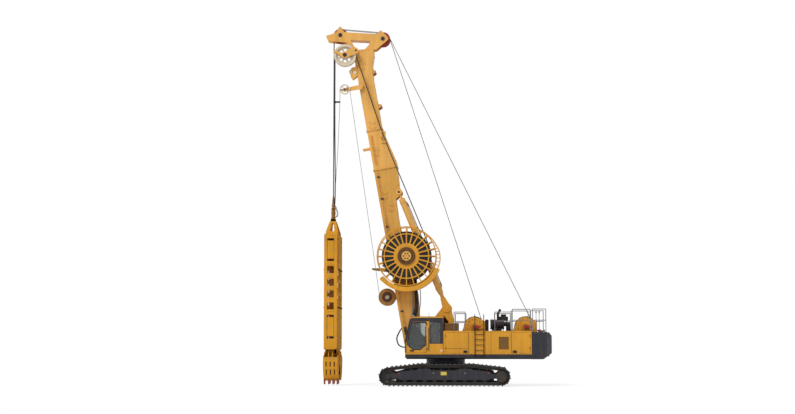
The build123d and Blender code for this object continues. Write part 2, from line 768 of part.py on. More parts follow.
def cab_glass():
    """Panes of the windscreen, sides and rear."""
    inside_y = (CAB_Y[0] + CAB_WALL, CAB_Y[1] - CAB_WALL)
    near, far = GLASS_INSET, GLASS_INSET + GLASS
    screen = [(screen_x(z) + shift, z) for z, shift in
              ((SCREEN_Z[0], near), (SCREEN_Z[0], far), (SCREEN_Z[1], far), (SCREEN_Z[1], near))]
    rear_x = CAB_OUTLINE[-1][0]
    return group([
        slab(screen, *inside_y),
        block(SIDE_WINDOW[0], (CAB_Y[0] + near, CAB_Y[0] + far), SIDE_WINDOW[1]),
        block(FAR_WINDOW[0], (CAB_Y[1] - far, CAB_Y[1] - near), FAR_WINDOW[1]),
        block((rear_x - far, rear_x - near), *REAR_WINDOW),
    ])


def hinge(x, outer_y, side, z, door_direction):
    """Knuckle of a door hinge with its leaf on the panel's outer face."""
    axis_y = outer_y + side * HINGE_OUT
    thin = sorted((outer_y, outer_y + side * HINGE_LEAF_THICKNESS))
    strap = block(sorted((x + door_direction * HINGE_RADIUS, x + door_direction * HINGE_LEAF)), thin, (z - 60, z + 60))
    bridge = block(sorted((x, x + door_direction * HINGE_RADIUS * 2)), sorted((outer_y + side * 3, axis_y)), (z - 60, z + 60))
    return fused([post(x, axis_y, HINGE_RADIUS, z - 60, z + 60), strap, bridge])


def cab_door():
    """Door leaf with its window opening, handle and hinges at the rear edge."""
    outer = CAB_Y[0]
    leaf = slab(DOOR_OUTLINE, outer, outer + DOOR_THICKNESS, gap=DOOR_GAP)
    leaf -= slab(DOOR_WINDOW, outer - 10, outer + DOOR_THICKNESS + 10)
    hinges = [hinge(CAB_DOOR_HINGE_X, outer, -1, z, -1) for z in (1700, 2900)]
    handle = block((-1640, -1500), (outer - 25, outer), (1660, 1710))
    return fused([leaf, *hinges, handle])


def cab_door_glass():
    """Pane of the cab door."""
    outer = CAB_Y[0] + GLASS_INSET
    return slab(DOOR_WINDOW, outer, outer + GLASS)


def cab_seat():
    """Driver's seat on its base."""
    floor = CAB_INNER[0][1]
    middle = (CAB_Y[0] + CAB_Y[1]) / 2
    base = block((-860, -460), (middle - 180, middle + 180), (floor, floor + 330))
    cushion = block((-960, -400), (middle - 240, middle + 240), (floor + 330, floor + 460))
    back_outline = [(-500, floor + 460), (-400, floor + 460), (-260, floor + 1080), (-350, floor + 1080)]
    return fused([base, cushion, slab(back_outline, middle - 230, middle + 230)])


def cab_consoles():
    """Arm consoles beside the seat and the column ahead of it."""
    floor = CAB_INNER[0][1]
    middle = (CAB_Y[0] + CAB_Y[1]) / 2
    arms = [block((-1020, -420), (middle + low, middle + high), (floor, floor + 560))
            for low, high in ((-400, -260), (260, 400))]
    column_outline = [(-1700, floor), (-1560, floor), (-1500, floor + 700), (-1600, floor + 720)]
    return group([*arms, slab(column_outline, middle - 60, middle + 60)])


def house(side):
    """Hollow machine house with door and grille openings in its outer wall."""
    x = (HOUSE_FRONT, FRAME_REAR)
    shell = block(x, in_span(*HOUSE_Y, side), (DECK_Z, HOUSE_TOP))
    inside = in_span(HOUSE_Y[0] + PANEL, HOUSE_Y[1] - PANEL, side)
    shell -= block((x[0] + PANEL, x[1] - PANEL), inside, (DECK_Z, HOUSE_TOP - PANEL))
    wall = in_span(HOUSE_Y[1] - PANEL - 10, HOUSE_Y[1] + 10, side)
    for name, door_side, front, rear, hinge_front in HOUSE_DOORS:
        if door_side == side:
            shell -= block((front, rear), wall, DOOR_Z)
    shell -= block(GRILLE_X, wall, GRILLE_Z)
    pitch = (GRILLE_Z[1] - GRILLE_Z[0]) / (GRILLE_BARS + 1)
    bar_span = in_span(HOUSE_Y[1] - PANEL, HOUSE_Y[1] - 5, side)
    bars = []
    for index in range(GRILLE_BARS):
        z = GRILLE_Z[0] + pitch * (index + 1)
        bars.append(block(GRILLE_X, bar_span, (z - GRILLE_BAR / 2, z + GRILLE_BAR / 2)))
    return fused([shell, *bars])


def house_door(side, front, rear, hinge_front):
    """Side door with its handle and two hinges."""
    outer = side * HOUSE_Y[1]
    leaf = block((front + DOOR_GAP, rear - DOOR_GAP), in_span(HOUSE_Y[1] - PANEL, HOUSE_Y[1], side),
                 (DOOR_Z[0] + DOOR_GAP, DOOR_Z[1] - DOOR_GAP))
    hinge_x, direction = (front, 1) if hinge_front else (rear, -1)
    hinges = [hinge(hinge_x, outer, side, z, direction) for z in (DOOR_Z[0] + 150, DOOR_Z[1] - 150)]
    latch = rear - 60 if hinge_front else front + 60
    handle_x = sorted((latch, latch - direction * HANDLE_LENGTH))
    handle = block(handle_x, in_span(HOUSE_Y[1], HOUSE_Y[1] + 20, side), (1600, 1690))
    return fused([leaf, *hinges, handle])


def counterweight():
    """Cast tail block with chamfered corners, a bay for the rear winch and lifting eyes."""
    body = slab(WEIGHT_OUTLINE, -FRAME_HALF_WIDTH, FRAME_HALF_WIDTH)
    corner = [(TAIL_X - WEIGHT_CORNER[0], FRAME_HALF_WIDTH + 1), (TAIL_X + 1, FRAME_HALF_WIDTH + 1),
              (TAIL_X + 1, FRAME_HALF_WIDTH - WEIGHT_CORNER[1])]
    prism = extrude(make_face(Polyline(*corner, close=True)), amount=4000, dir=(0, 0, 1))
    body -= both_sides(prism)
    body -= block((WEIGHT_FRONT - 10, WEIGHT_NOTCH_X), (-WEIGHT_NOTCH_Y, WEIGHT_NOTCH_Y), (WEIGHT_NOTCH_Z, WEIGHT_TOP + 10))
    eyes = []
    half = LIFT_EYE_THICKNESS / 2
    for side in (-1, 1):
        y = side * LIFT_EYE_Y
        z = WEIGHT_TOP + LIFT_EYE_RISE
        eye = fused([bar_y(LIFT_EYE_X, z, LIFT_EYE_RADIUS, y - half, y + half),
                     block((LIFT_EYE_X - LIFT_EYE_RADIUS, LIFT_EYE_X + LIFT_EYE_RADIUS), (y - half, y + half),
                           (WEIGHT_TOP - 5, z))])
        eyes.append(eye - bar_y(LIFT_EYE_X, z, LIFT_EYE_BORE, y - half, y + half))
    return fused([body, *eyes])


def engine_top():
    """Air cleaner on a saddle, its duct and the exhaust stack."""
    canister = bar_x(CANISTER_Y, CANISTER_Z, CANISTER_RADIUS, *CANISTER_X)
    saddle = block((CANISTER_X[0] + 120, CANISTER_X[1] - 120), (CANISTER_Y - 150, CANISTER_Y + 150),
                   (ENGINE[2][1], CANISTER_Z))
    stack = post(STACK_X, CANISTER_Y, STACK_RADIUS, CANISTER_Z, STACK_TOP)
    tip = rod((STACK_X, CANISTER_Y, STACK_TOP), (STACK_TIP[0], CANISTER_Y, STACK_TIP[1]), STACK_RADIUS)
    elbow = Pos(STACK_X, CANISTER_Y, STACK_TOP) * Sphere(STACK_RADIUS)
    duct = bar_x(CANISTER_Y, CANISTER_Z, DUCT_RADIUS, CANISTER_X[1], DUCT_X)
    drop = post(DUCT_X - DUCT_RADIUS, CANISTER_Y, DUCT_RADIUS, ENGINE[2][1], CANISTER_Z)
    return fused([canister, saddle, stack, elbow, tip, duct, drop])


def handrails(side):
    """Rails along one edge of the deck."""
    solids = []
    y = side * RAIL_Y
    for front, rear, foot, middle, top in RAILS:
        posts = [post(x, y, RAIL_RADIUS, foot, top) for x in (front, rear)]
        bars = [bar_x(y, z, RAIL_RADIUS, front, rear) for z in (middle, top)]
        corners = [Pos(x, y, top) * Sphere(RAIL_RADIUS) for x in (front, rear)]
        solids.append(fused([*posts, *bars, *corners]))
    return group(solids)


def side_tank():
    """Fuel tank as a shell on the deck, at the right front."""
    x, y, z = TANK
    inside = [(low + TANK_WALL, high - TANK_WALL) for low, high in (x, y)]
    return block(x, y, z) - block(*inside, (z[0], z[1] - TANK_WALL))


def ladder():
    """Side ladder with stand-off feet on the house."""
    rails = [post(x, LADDER_Y, RAIL_RADIUS, *LADDER_Z) for x in LADDER_X]
    rungs = [bar_x(LADDER_Y, LADDER_Z[0] + 60 + n * LADDER_RUNG_PITCH, RUNG_RADIUS, *LADDER_X)
             for n in range(LADDER_RUNGS)]
    feet = [block((x - 20, x + 20), (LADDER_Y, -HOUSE_Y[1]), (z - 20, z + 20)) for x in LADDER_X for z in LADDER_FEET]
    return fused([*rails, *rungs, *feet])


def work_lamps():
    """Lamps on the cab roof and the counterweight, and the beacon."""
    solids = []
    for y in CAB_LAMP_Y:
        solids.append(block((CAB_LAMP_X - LAMP_DEPTH, CAB_LAMP_X), (y - LAMP / 2, y + LAMP / 2),
                            (CAB_ROOF, CAB_ROOF + LAMP)))
    for side in (-1, 1):
        y = in_span(FRAME_HALF_WIDTH - 260, FRAME_HALF_WIDTH - 260 + LAMP, side)
        solids.append(block((4700, 4700 + LAMP_DEPTH), y, (WEIGHT_TOP, WEIGHT_TOP + LAMP)))
    solids.append(post(BEACON_X - 100, BEACON_Y, BEACON_RADIUS, WEIGHT_TOP, WEIGHT_TOP + BEACON_HEIGHT))
    return group(solids)


# Winches
def winch_frame(x, z):
    """Side plates of a winch, its ties and the drive outside the near plate."""
    outline = [(x + dx, dz) for dx, dz in WINCH_PLATE_OUTLINE]
    plates = []
    for side in (-1, 1):
        span = in_span(*WINCH_PLATE_Y, side)
        plates.append(slab(outline, *span) - bar_y(x, z, DRUM_AXLE_RADIUS + RUNNING, *span))
    ties = [bar_y(x + dx, dz, WINCH_TIE_RADIUS, -WINCH_PLATE_Y[0], WINCH_PLATE_Y[0]) for dx, dz in WINCH_TIES]
    return fused([*plates, *ties])


def winch_drives():
    """Drive motors on the near plates."""
    outer = -WINCH_PLATE_Y[1]
    return group([bar_y(x, z, WINCH_DRIVE_RADIUS, outer - WINCH_DRIVE_LENGTH, outer) for name, x, z in WINCHES])


def winch_drum(x, z):
    """Drum with flanges and axle ends."""
    shell = tube_y(x, z, DRUM_CORE_RADIUS, DRUM_CORE_RADIUS - DRUM_SHELL, -DRUM_HALF, DRUM_HALF)
    flanges = [bar_y(x, z, DRUM_FLANGE_RADIUS, *in_span(DRUM_HALF - DRUM_FLANGE, DRUM_HALF, side)) for side in (-1, 1)]
    axle = bar_y(x, z, DRUM_AXLE_RADIUS, -WINCH_PLATE_Y[1], WINCH_PLATE_Y[1])
    return fused([shell, *flanges, axle])


# Boom
def box_section(rear, half_width):
    """Open-ended box girder between the straight front face and a rear outline."""
    low, high = rear[0][0], rear[-1][0]
    outline = [(low, -BOOM_FRONT), *rear, (high, -BOOM_FRONT)]
    inner = [(low - 200, -BOOM_FRONT + BOOM_WALL), (low - 200, rear[0][1] - BOOM_WALL)]
    inner += [(along, across - BOOM_WALL) for along, across in rear]
    inner += [(high + 200, rear[-1][1] - BOOM_WALL), (high + 200, -BOOM_FRONT + BOOM_WALL)]
    outside = slab([on_boom(*point) for point in outline], -half_width, half_width)
    inside = slab([on_boom(*point) for point in inner], -half_width + BOOM_WALL, half_width - BOOM_WALL)
    return outside, inside


def flange(along, rear, half_width, direction):
    """Collar round the end of a boom section."""
    ends = sorted((along, along + direction * FLANGE_THICKNESS))
    proud = FLANGE_PROUD
    outer = [(ends[0], -BOOM_FRONT - proud), (ends[0], rear + proud), (ends[1], rear + proud), (ends[1], -BOOM_FRONT - proud)]
    inner = [(ends[0] - 50, -BOOM_FRONT + BOOM_WALL), (ends[0] - 50, rear - BOOM_WALL - proud),
             (ends[1] + 50, rear - BOOM_WALL - proud), (ends[1] + 50, -BOOM_FRONT + BOOM_WALL)]
    collar = slab([on_boom(*p) for p in outer], -half_width - proud, half_width + proud)
    return collar - slab([on_boom(*p) for p in inner], -half_width + BOOM_WALL + 20, half_width - BOOM_WALL - 20)


def pegs(station, half_width):
    """Bumper bar ahead of the boom on two arms."""
    along, length = station
    x, z = on_boom(along, -BOOM_FRONT - length)
    arm = [on_boom(along - 60, -BOOM_FRONT), on_boom(along + 60, -BOOM_FRONT),
           on_boom(along + 35, -BOOM_FRONT - length), on_boom(along - 35, -BOOM_FRONT - length)]
    arms = [slab(arm, y - 20, y + 20) for y in (-PEG_HALF_WIDTH + 40, PEG_HALF_WIDTH - 40)]
    return [*arms, bar_y(x, z, PEG_RADIUS, -PEG_HALF_WIDTH, PEG_HALF_WIDTH)]


def boom_lower():
    """Lower boom with its rounded foot, foot tube, cylinder lugs and front bumper."""
    outside, inside = box_section(LOWER_REAR, LOWER_HALF_WIDTH)
    half = LOWER_HALF_WIDTH
    foot = bar_y(FOOT_PIN_X, FOOT_PIN_Z, FOOT_RADIUS, -half, half)
    foot_inside = bar_y(FOOT_PIN_X, FOOT_PIN_Z, FOOT_RADIUS - BOOM_WALL, -half + BOOM_WALL, half - BOOM_WALL)
    end = LOWER_REAR[0][0]
    above_foot = [(end, -BOOM_FRONT + BOOM_WALL), *[(a, b - BOOM_WALL) for a, b in LOWER_REAR],
                  (LOWER_END + 200, LOWER_REAR[-1][1] - BOOM_WALL), (LOWER_END + 200, -BOOM_FRONT + BOOM_WALL)]
    inside = slab([on_boom(*p) for p in above_foot], -half + BOOM_WALL, half - BOOM_WALL)
    shell = fused([outside, foot]) - [inside, foot_inside]
    tube = bar_y(FOOT_PIN_X, FOOT_PIN_Z, FOOT_TUBE_RADIUS, -half, half)
    lug_x, lug_z = on_boom(LUG_ALONG, LUG_ACROSS)
    root = [on_boom(LUG_ALONG - 330, 380), on_boom(LUG_ALONG - 100, LUG_ACROSS + 120),
            on_boom(LUG_ALONG + 100, LUG_ACROSS + 120), on_boom(LUG_ALONG + 420, 640), on_boom(LUG_ALONG + 300, 400)]
    lugs = []
    for side in (-1, 1):
        for sign in (-1, 1):
            span = [side * CYLINDER_Y + y for y in in_span(*LUG_PLATE, sign)]
            lugs.append(fused([slab(root, *span), bar_y(lug_x, lug_z, LUG_RADIUS, *span)]))
    holes = [bar_y(lug_x, lug_z, CYLINDER_PIN_RADIUS + LUG_SLACK, -half, half)]
    bore = bar_y(FOOT_PIN_X, FOOT_PIN_Z, FOOT_PIN_RADIUS + RUNNING, -half - 10, half + 10)
    collar = flange(LOWER_END, LOWER_REAR[-1][1], half, -1)
    lugged = fused(lugs) - holes
    return fused([shell, tube, lugged, collar, *pegs(PEG_STATIONS[0], half)]) - bore


def boom_middle():
    """Tapered section between the lower and the upper boom."""
    outside, inside = box_section(MIDDLE_REAR, UPPER_HALF_WIDTH)
    collars = [flange(LOWER_END, MIDDLE_REAR[0][1], LOWER_HALF_WIDTH, 1),
               flange(MIDDLE_END, MIDDLE_REAR[-1][1], UPPER_HALF_WIDTH, -1)]
    return fused([outside - inside, *collars, *pegs(PEG_STATIONS[1], UPPER_HALF_WIDTH)])


def boom_upper():
    """Straight top section."""
    outside, inside = box_section(UPPER_REAR, UPPER_HALF_WIDTH)
    collar = flange(MIDDLE_END, UPPER_REAR[0][1], UPPER_HALF_WIDTH, 1)
    return fused([outside - inside, collar])


def boom_head():
    """Cheek plates with sheave pins between them, webs and a base plate on the boom."""
    cheeks = []
    for side in (-1, 1):
        span = in_span(*HEAD_PLATE_Y, side)
        cheeks.append(slab(HEAD_OUTLINE, *span) - slab(HEAD_CUTOUT, *span))
    webs = []
    for (x1, z1), (x2, z2), thickness in HEAD_WEBS:
        web = [(x1, z1), (x2, z2), (x2, z2 - thickness), (x1, z1 - thickness)]
        webs.append(slab(web, -HEAD_PLATE_Y[0], HEAD_PLATE_Y[0]))
    pins = [bar_y(x, z, SHEAVE_PIN_RADIUS, -HEAD_PLATE_Y[1] - 20, HEAD_PLATE_Y[1] + 20) for name, x, z in SHEAVES]
    base = [on_boom(UPPER_END, -BOOM_FRONT), on_boom(UPPER_END, UPPER_REAR[-1][1]),
            on_boom(UPPER_END + 60, UPPER_REAR[-1][1]), on_boom(UPPER_END + 60, -BOOM_FRONT)]
    head = fused([*cheeks, *webs, *pins, slab(base, -UPPER_HALF_WIDTH, UPPER_HALF_WIDTH)])
    below = [on_boom(UPPER_END, -2000), on_boom(UPPER_END, 2000), on_boom(UPPER_END - 900, 2000), on_boom(UPPER_END - 900, -2000)]
    return head - slab(below, -UPPER_HALF_WIDTH - 10, UPPER_HALF_WIDTH + 10)


def sheave(x, z, y):
    """Rope sheave with a grooved rim on a thin web."""
    groove = ROPE_CIRCLE - ROPE_RADIUS - SEAT
    profile = [
        (SHEAVE_PIN_RADIUS + RUNNING, -SHEAVE_HALF_WIDTH),
        (120, -SHEAVE_HALF_WIDTH),
        (120, -SHEAVE_WEB),
        (groove - 50, -SHEAVE_WEB),
        (groove - 40, -SHEAVE_HALF_WIDTH),
        (SHEAVE_RADIUS, -SHEAVE_HALF_WIDTH),
        (groove, -GROOVE_HALF_WIDTH),
    ]
    points = profile + [(radius, -offset_y) for radius, offset_y in reversed(profile)]
    wheel = revolve(make_face(Polyline(*points, close=True)), axis=Axis.Y)
    return Pos(x, y, z) * wheel


def sheave_pair(x, z):
    """Two rope sheaves on one pin."""
    return group([sheave(x, z, side * SHEAVE_Y) for side in (-1, 1)])


def hose_sheave():
    """Large double-groove hose wheel with holes round its hub."""
    low, high = HOSE_SHEAVE_Y
    middle = (low + high) / 2
    half = (high - low) / 2
    groove = HOSE_SHEAVE_RADIUS - 70
    profile = [
        (HOSE_SHEAVE_AXLE + RUNNING, -half), (140, -half), (140, -20), (groove - 60, -20), (groove - 40, -half),
        (HOSE_SHEAVE_RADIUS, -half), (groove, -half + 45), (groove, -45), (HOSE_SHEAVE_RADIUS, -12),
    ]
    points = profile + [(radius, -offset_y) for radius, offset_y in reversed(profile)]
    wheel = Pos(HOSE_SHEAVE_X, middle, HOSE_SHEAVE_Z) * revolve(make_face(Polyline(*points, close=True)), axis=Axis.Y)
    holes = []
    for index in range(HOSE_SHEAVE_HOLES):
        angle = 2 * math.pi * index / HOSE_SHEAVE_HOLES
        x = HOSE_SHEAVE_X + 280 * math.cos(angle)
        z = HOSE_SHEAVE_Z + 280 * math.sin(angle)
        holes.append(bar_y(x, z, 70, low - 10, high + 10))
    return wheel - holes


def hose_sheave_bracket():
    """Arms each side of the hose wheel from a block on the boom's side, with the axle."""
    root_x, root_z = HOSE_ARM_ROOT
    pieces = [block(root_x, (HOSE_ARM_Y[0][0], -UPPER_HALF_WIDTH), root_z)]
    arm = [(HOSE_SHEAVE_X, HOSE_SHEAVE_Z - HOSE_ARM_HALF), (root_x[1], root_z[0]), (root_x[1], root_z[1]),
           (HOSE_SHEAVE_X, HOSE_SHEAVE_Z + HOSE_ARM_HALF)]
    for span in HOSE_ARM_Y:
        pieces.append(slab(arm, *span))
        pieces.append(bar_y(HOSE_SHEAVE_X, HOSE_SHEAVE_Z, HOSE_ARM_HALF, *span))
    pieces.append(bar_y(HOSE_SHEAVE_X, HOSE_SHEAVE_Z, HOSE_SHEAVE_AXLE, HOSE_ARM_Y[0][0], HOSE_ARM_Y[1][1]))
    return fused(pieces)


def guide_wheel():
    """Thin spoked guide wheel."""
    low, high = GUIDE_Y
    rim = tube_y(GUIDE_X, GUIDE_Z, GUIDE_RADIUS, GUIDE_RADIUS - GUIDE_RIM, low, high)
    hub = bar_y(GUIDE_X, GUIDE_Z, 65, low, high)
    spokes = []
    for index in range(GUIDE_SPOKES // 2):
        bar = Box(2 * GUIDE_RADIUS - GUIDE_RIM, (high - low) / 2, GUIDE_SPOKE_WIDTH)
        spokes.append(Pos(GUIDE_X, (low + high) / 2, GUIDE_Z) * Rot(0, 45 + 90 * index, 0) * bar)
    return fused([rim, hub, *spokes]) - bar_y(GUIDE_X, GUIDE_Z, GUIDE_AXLE + RUNNING, low - 10, high + 10)


def guide_arm():
    """Arm of the guide wheel from a block on the boom's side."""
    low, high = GUIDE_ARM_ROOT
    root = [on_boom(low, -BOOM_FRONT + 40), on_boom(low, 0), on_boom(high, 0), on_boom(high, -BOOM_FRONT + 40)]
    arm = [on_boom(low, 0), on_boom(high, 0), on_boom(high, -BOOM_FRONT), (GUIDE_X, GUIDE_Z + 60), (GUIDE_X, GUIDE_Z - 60),
           on_boom(low, -BOOM_FRONT)]
    return fused([
        slab(root, GUIDE_ARM_Y[0], -UPPER_HALF_WIDTH),
        slab(arm, *GUIDE_ARM_Y),
        bar_y(GUIDE_X, GUIDE_Z, 60, *GUIDE_ARM_Y),
        bar_y(GUIDE_X, GUIDE_Z, GUIDE_AXLE, GUIDE_Y[0] - 10, GUIDE_ARM_Y[0]),
    ])


# Reels
def reel_flange(y_low, y_high):
    """Spoked flange of the hose reel."""
    rings = [tube_y(REEL_X, REEL_Z, outer, inner, y_low, y_high) for inner, outer in (REEL_RING, REEL_RIM)]
    disc = bar_y(REEL_X, REEL_Z, REEL_DRUM_RADIUS, y_low, y_high)
    reach = REEL_RIM[0] + 10 - REEL_DRUM_RADIUS + 10
    spokes = []
    for index in range(REEL_SPOKES):
        bar = Pos(0, 0, REEL_DRUM_RADIUS - 10 + reach / 2) * Box(REEL_SPOKE_WIDTH, y_high - y_low, reach)
        spokes.append(Pos(REEL_X, (y_low + y_high) / 2, REEL_Z) * Rot(0, 360 * index / REEL_SPOKES, 0) * bar)
    return [disc, *rings, *spokes]


def hose_reel():
    """Spoked reel with its drum, running on the axle."""
    near = reel_flange(REEL_NEAR, REEL_NEAR + REEL_FLANGE)
    far = reel_flange(REEL_FAR - REEL_FLANGE, REEL_FAR)
    drum = tube_y(REEL_X, REEL_Z, REEL_DRUM_RADIUS, REEL_DRUM_RADIUS - 30, REEL_NEAR, REEL_FAR)
    hub = bar_y(REEL_X, REEL_Z, REEL_HUB_TUBE, REEL_NEAR, REEL_FAR)
    gear = tube_y(REEL_X, REEL_Z, REEL_GEAR[1], REEL_GEAR[0], REEL_NEAR - REEL_GEAR_PROUD, REEL_NEAR)
    bore = bar_y(REEL_X, REEL_Z, REEL_AXLE_RADIUS + RUNNING, REEL_NEAR - 10, REEL_FAR + 10)
    return fused([*near, *far, drum, hub, gear]) - bore


def hose_coil():
    """Outer turns of the wound hose, between the reel's flanges."""
    return tube_y(REEL_X, REEL_Z, REEL_COIL[1], REEL_COIL[0], REEL_NEAR + REEL_FLANGE, REEL_FAR - REEL_FLANGE)


def reel_mount():
    """Pad on the boom's side, axle and end cap of the hose reel."""
    pad = bar_y(REEL_X, REEL_Z, REEL_PAD_RADIUS, -LOWER_HALF_WIDTH - REEL_PAD, -LOWER_HALF_WIDTH)
    axle = bar_y(REEL_X, REEL_Z, REEL_AXLE_RADIUS, REEL_CAP[0], -LOWER_HALF_WIDTH)
    cap = bar_y(REEL_X, REEL_Z, REEL_CAP_RADIUS, *REEL_CAP)
    return fused([pad, axle, cap])


def reel_guard():
    """Trough under the hose reel on feet from the boom's side."""
    inner, outer = GUARD_RADII
    shell = tube_y(REEL_X, REEL_Z, outer, outer - GUARD_SHELL, *GUARD_Y)
    sides = [tube_y(REEL_X, REEL_Z, outer, inner, GUARD_Y[0], GUARD_Y[0] + GUARD_SHELL),
             tube_y(REEL_X, REEL_Z, outer, inner, GUARD_Y[1] - GUARD_SHELL, GUARD_Y[1])]
    trough = fused([shell, *sides]) & wedge(REEL_X, REEL_Z, 2 * outer, GUARD_ANGLES, GUARD_Y[0] - 10, GUARD_Y[1] + 10)
    half = GUARD_FOOT / 2
    feet = [block((x - half, x + half), (GUARD_Y[1] - GUARD_SHELL, -LOWER_HALF_WIDTH), (z - half, z + half))
            for x, z in GUARD_FEET]
    return fused([trough, *feet])


def cable_reel():
    """Small cable reel with thick flanges."""
    low, high = CABLE_REEL_Y
    flanges = [bar_y(CABLE_REEL_X, CABLE_REEL_Z, CABLE_REEL_RADIUS, low, low + CABLE_REEL_FLANGE),
               bar_y(CABLE_REEL_X, CABLE_REEL_Z, CABLE_REEL_RADIUS, high - CABLE_REEL_FLANGE, high)]
    core = tube_y(CABLE_REEL_X, CABLE_REEL_Z, CABLE_REEL_CORE, CABLE_REEL_CORE - 40, low, high)
    hub = bar_y(CABLE_REEL_X, CABLE_REEL_Z, 100, low, high)
    bore = bar_y(CABLE_REEL_X, CABLE_REEL_Z, CABLE_REEL_AXLE + RUNNING, low - 10, high + 10)
    return fused([*flanges, core, hub]) - bore


def cable_reel_bracket():
    """Arm ahead of the boom with the cable reel's axle."""
    lean = math.radians(BOOM_LEAN)
    along = (CABLE_REEL_Z - FOOT_PIN_Z + (CABLE_REEL_X - FOOT_PIN_X) * -math.tan(lean)) * math.cos(lean)
    half = CABLE_BRACKET_HALF
    arm = [on_boom(along + half, -BOOM_FRONT), (CABLE_REEL_X, CABLE_REEL_Z + half / 2),
           (CABLE_REEL_X, CABLE_REEL_Z - half / 2), on_boom(along - half, -BOOM_FRONT)]
    return fused([
        slab(arm, *CABLE_BRACKET_Y),
        bar_y(CABLE_REEL_X, CABLE_REEL_Z, half, *CABLE_BRACKET_Y),
        bar_y(CABLE_REEL_X, CABLE_REEL_Z, CABLE_REEL_AXLE, CABLE_REEL_Y[0] - 20, CABLE_BRACKET_Y[0]),
    ])


# Luffing cylinders
def cylinder_axis():
    """Base point, unit direction and length of the luffing cylinders in X and Z."""
    lug_x, lug_z = on_boom(LUG_ALONG, LUG_ACROSS)
    length = math.hypot(lug_x - BASE_PIN_X, lug_z - BASE_PIN_Z)
    return (lug_x - BASE_PIN_X) / length, (lug_z - BASE_PIN_Z) / length, length


def on_cylinder(distance, y):
    """Point of a cylinder's centre line."""
    dx, dz, length = cylinder_axis()
    return BASE_PIN_X + dx * distance, y, BASE_PIN_Z + dz * distance


def luff_barrels():
    """Barrels with their base eyes."""
    solids = []
    for side in (-1, 1):
        y = side * CYLINDER_Y
        eye = bar_y(BASE_PIN_X, BASE_PIN_Z, EYE_RADIUS, y - EYE_HALF_WIDTH, y + EYE_HALF_WIDTH)
        neck = rod(on_cylinder(0, y), on_cylinder(EYE_RADIUS + 300, y), EYE_HALF_WIDTH)
        barrel = rod(on_cylinder(EYE_RADIUS + 240, y), on_cylinder(BARREL_END, y), BARREL_RADIUS)
        bore = rod(on_cylinder(BARREL_BORE_START, y), on_cylinder(BARREL_END + 10, y), ROD_RADIUS + RUNNING)
        pin = bar_y(BASE_PIN_X, BASE_PIN_Z, CYLINDER_PIN_RADIUS + RUNNING, y - 200, y + 200)
        solids.append(fused([eye, neck, barrel]) - [bore, pin])
    return group(solids)


def luff_rods():
    """Rods with their eyes, pins and pin caps."""
    length = cylinder_axis()[2]
    solids = []
    for side in (-1, 1):
        y = side * CYLINDER_Y
        x, y, z = on_cylinder(length, y)
        shaft = rod(on_cylinder(ROD_START, y), on_cylinder(length - EYE_RADIUS / 2, y), ROD_RADIUS)
        eye = bar_y(x, z, EYE_RADIUS, y - EYE_HALF_WIDTH, y + EYE_HALF_WIDTH)
        pin = bar_y(x, z, CYLINDER_PIN_RADIUS, y - PIN_CAP[1], y + PIN_CAP[1])
        caps = [bar_y(x, z, PIN_CAP_RADIUS, *[y + v for v in in_span(*PIN_CAP, sign)]) for sign in (-1, 1)]
        shank = shaft & block((x - 9000, x + 9000), (y - 500, y + 500), (0, 99000))
        solids.append(fused([shank, eye, pin, *caps]))
    return group(solids)


# Grab
def hoist_ropes():
    """The two ropes from the front sheaves to the grab's sockets."""
    top = SHEAVES[0][2]
    return group([post(GRAB_X, side * SHEAVE_Y, ROPE_RADIUS, SOCKET_TOP, top) for side in (-1, 1)])


def grab_suspension():
    """Swivel housing with the rope plate and sockets."""
    housing = post(GRAB_X, 0, SWIVEL_HOUSING_RADIUS, *SWIVEL_HOUSING_Z)
    housing -= post(GRAB_X, 0, SWIVEL_RADIUS + RUNNING, SWIVEL_HOUSING_Z[0] - 10, SWIVEL_TOP + RUNNING)
    half_x, half_y = ROPE_PLATE_HALF
    plate = block((GRAB_X - half_x, GRAB_X + half_x), (-half_y, half_y), ROPE_PLATE_Z)
    sockets = []
    for side in (-1, 1):
        height = SOCKET_TOP - ROPE_PLATE_Z[1]
        cone = Cone(SOCKET_RADII[1], SOCKET_RADII[0], height, align=(Align.CENTER, Align.CENTER, Align.MIN))
        sockets.append(Pos(GRAB_X, side * SHEAVE_Y, ROPE_PLATE_Z[1]) * cone)
    return fused([housing, plate, *sockets])


def end_openings():
    """Z spans of all openings in the narrow ends."""
    return END_WINDOWS + END_FLAPS


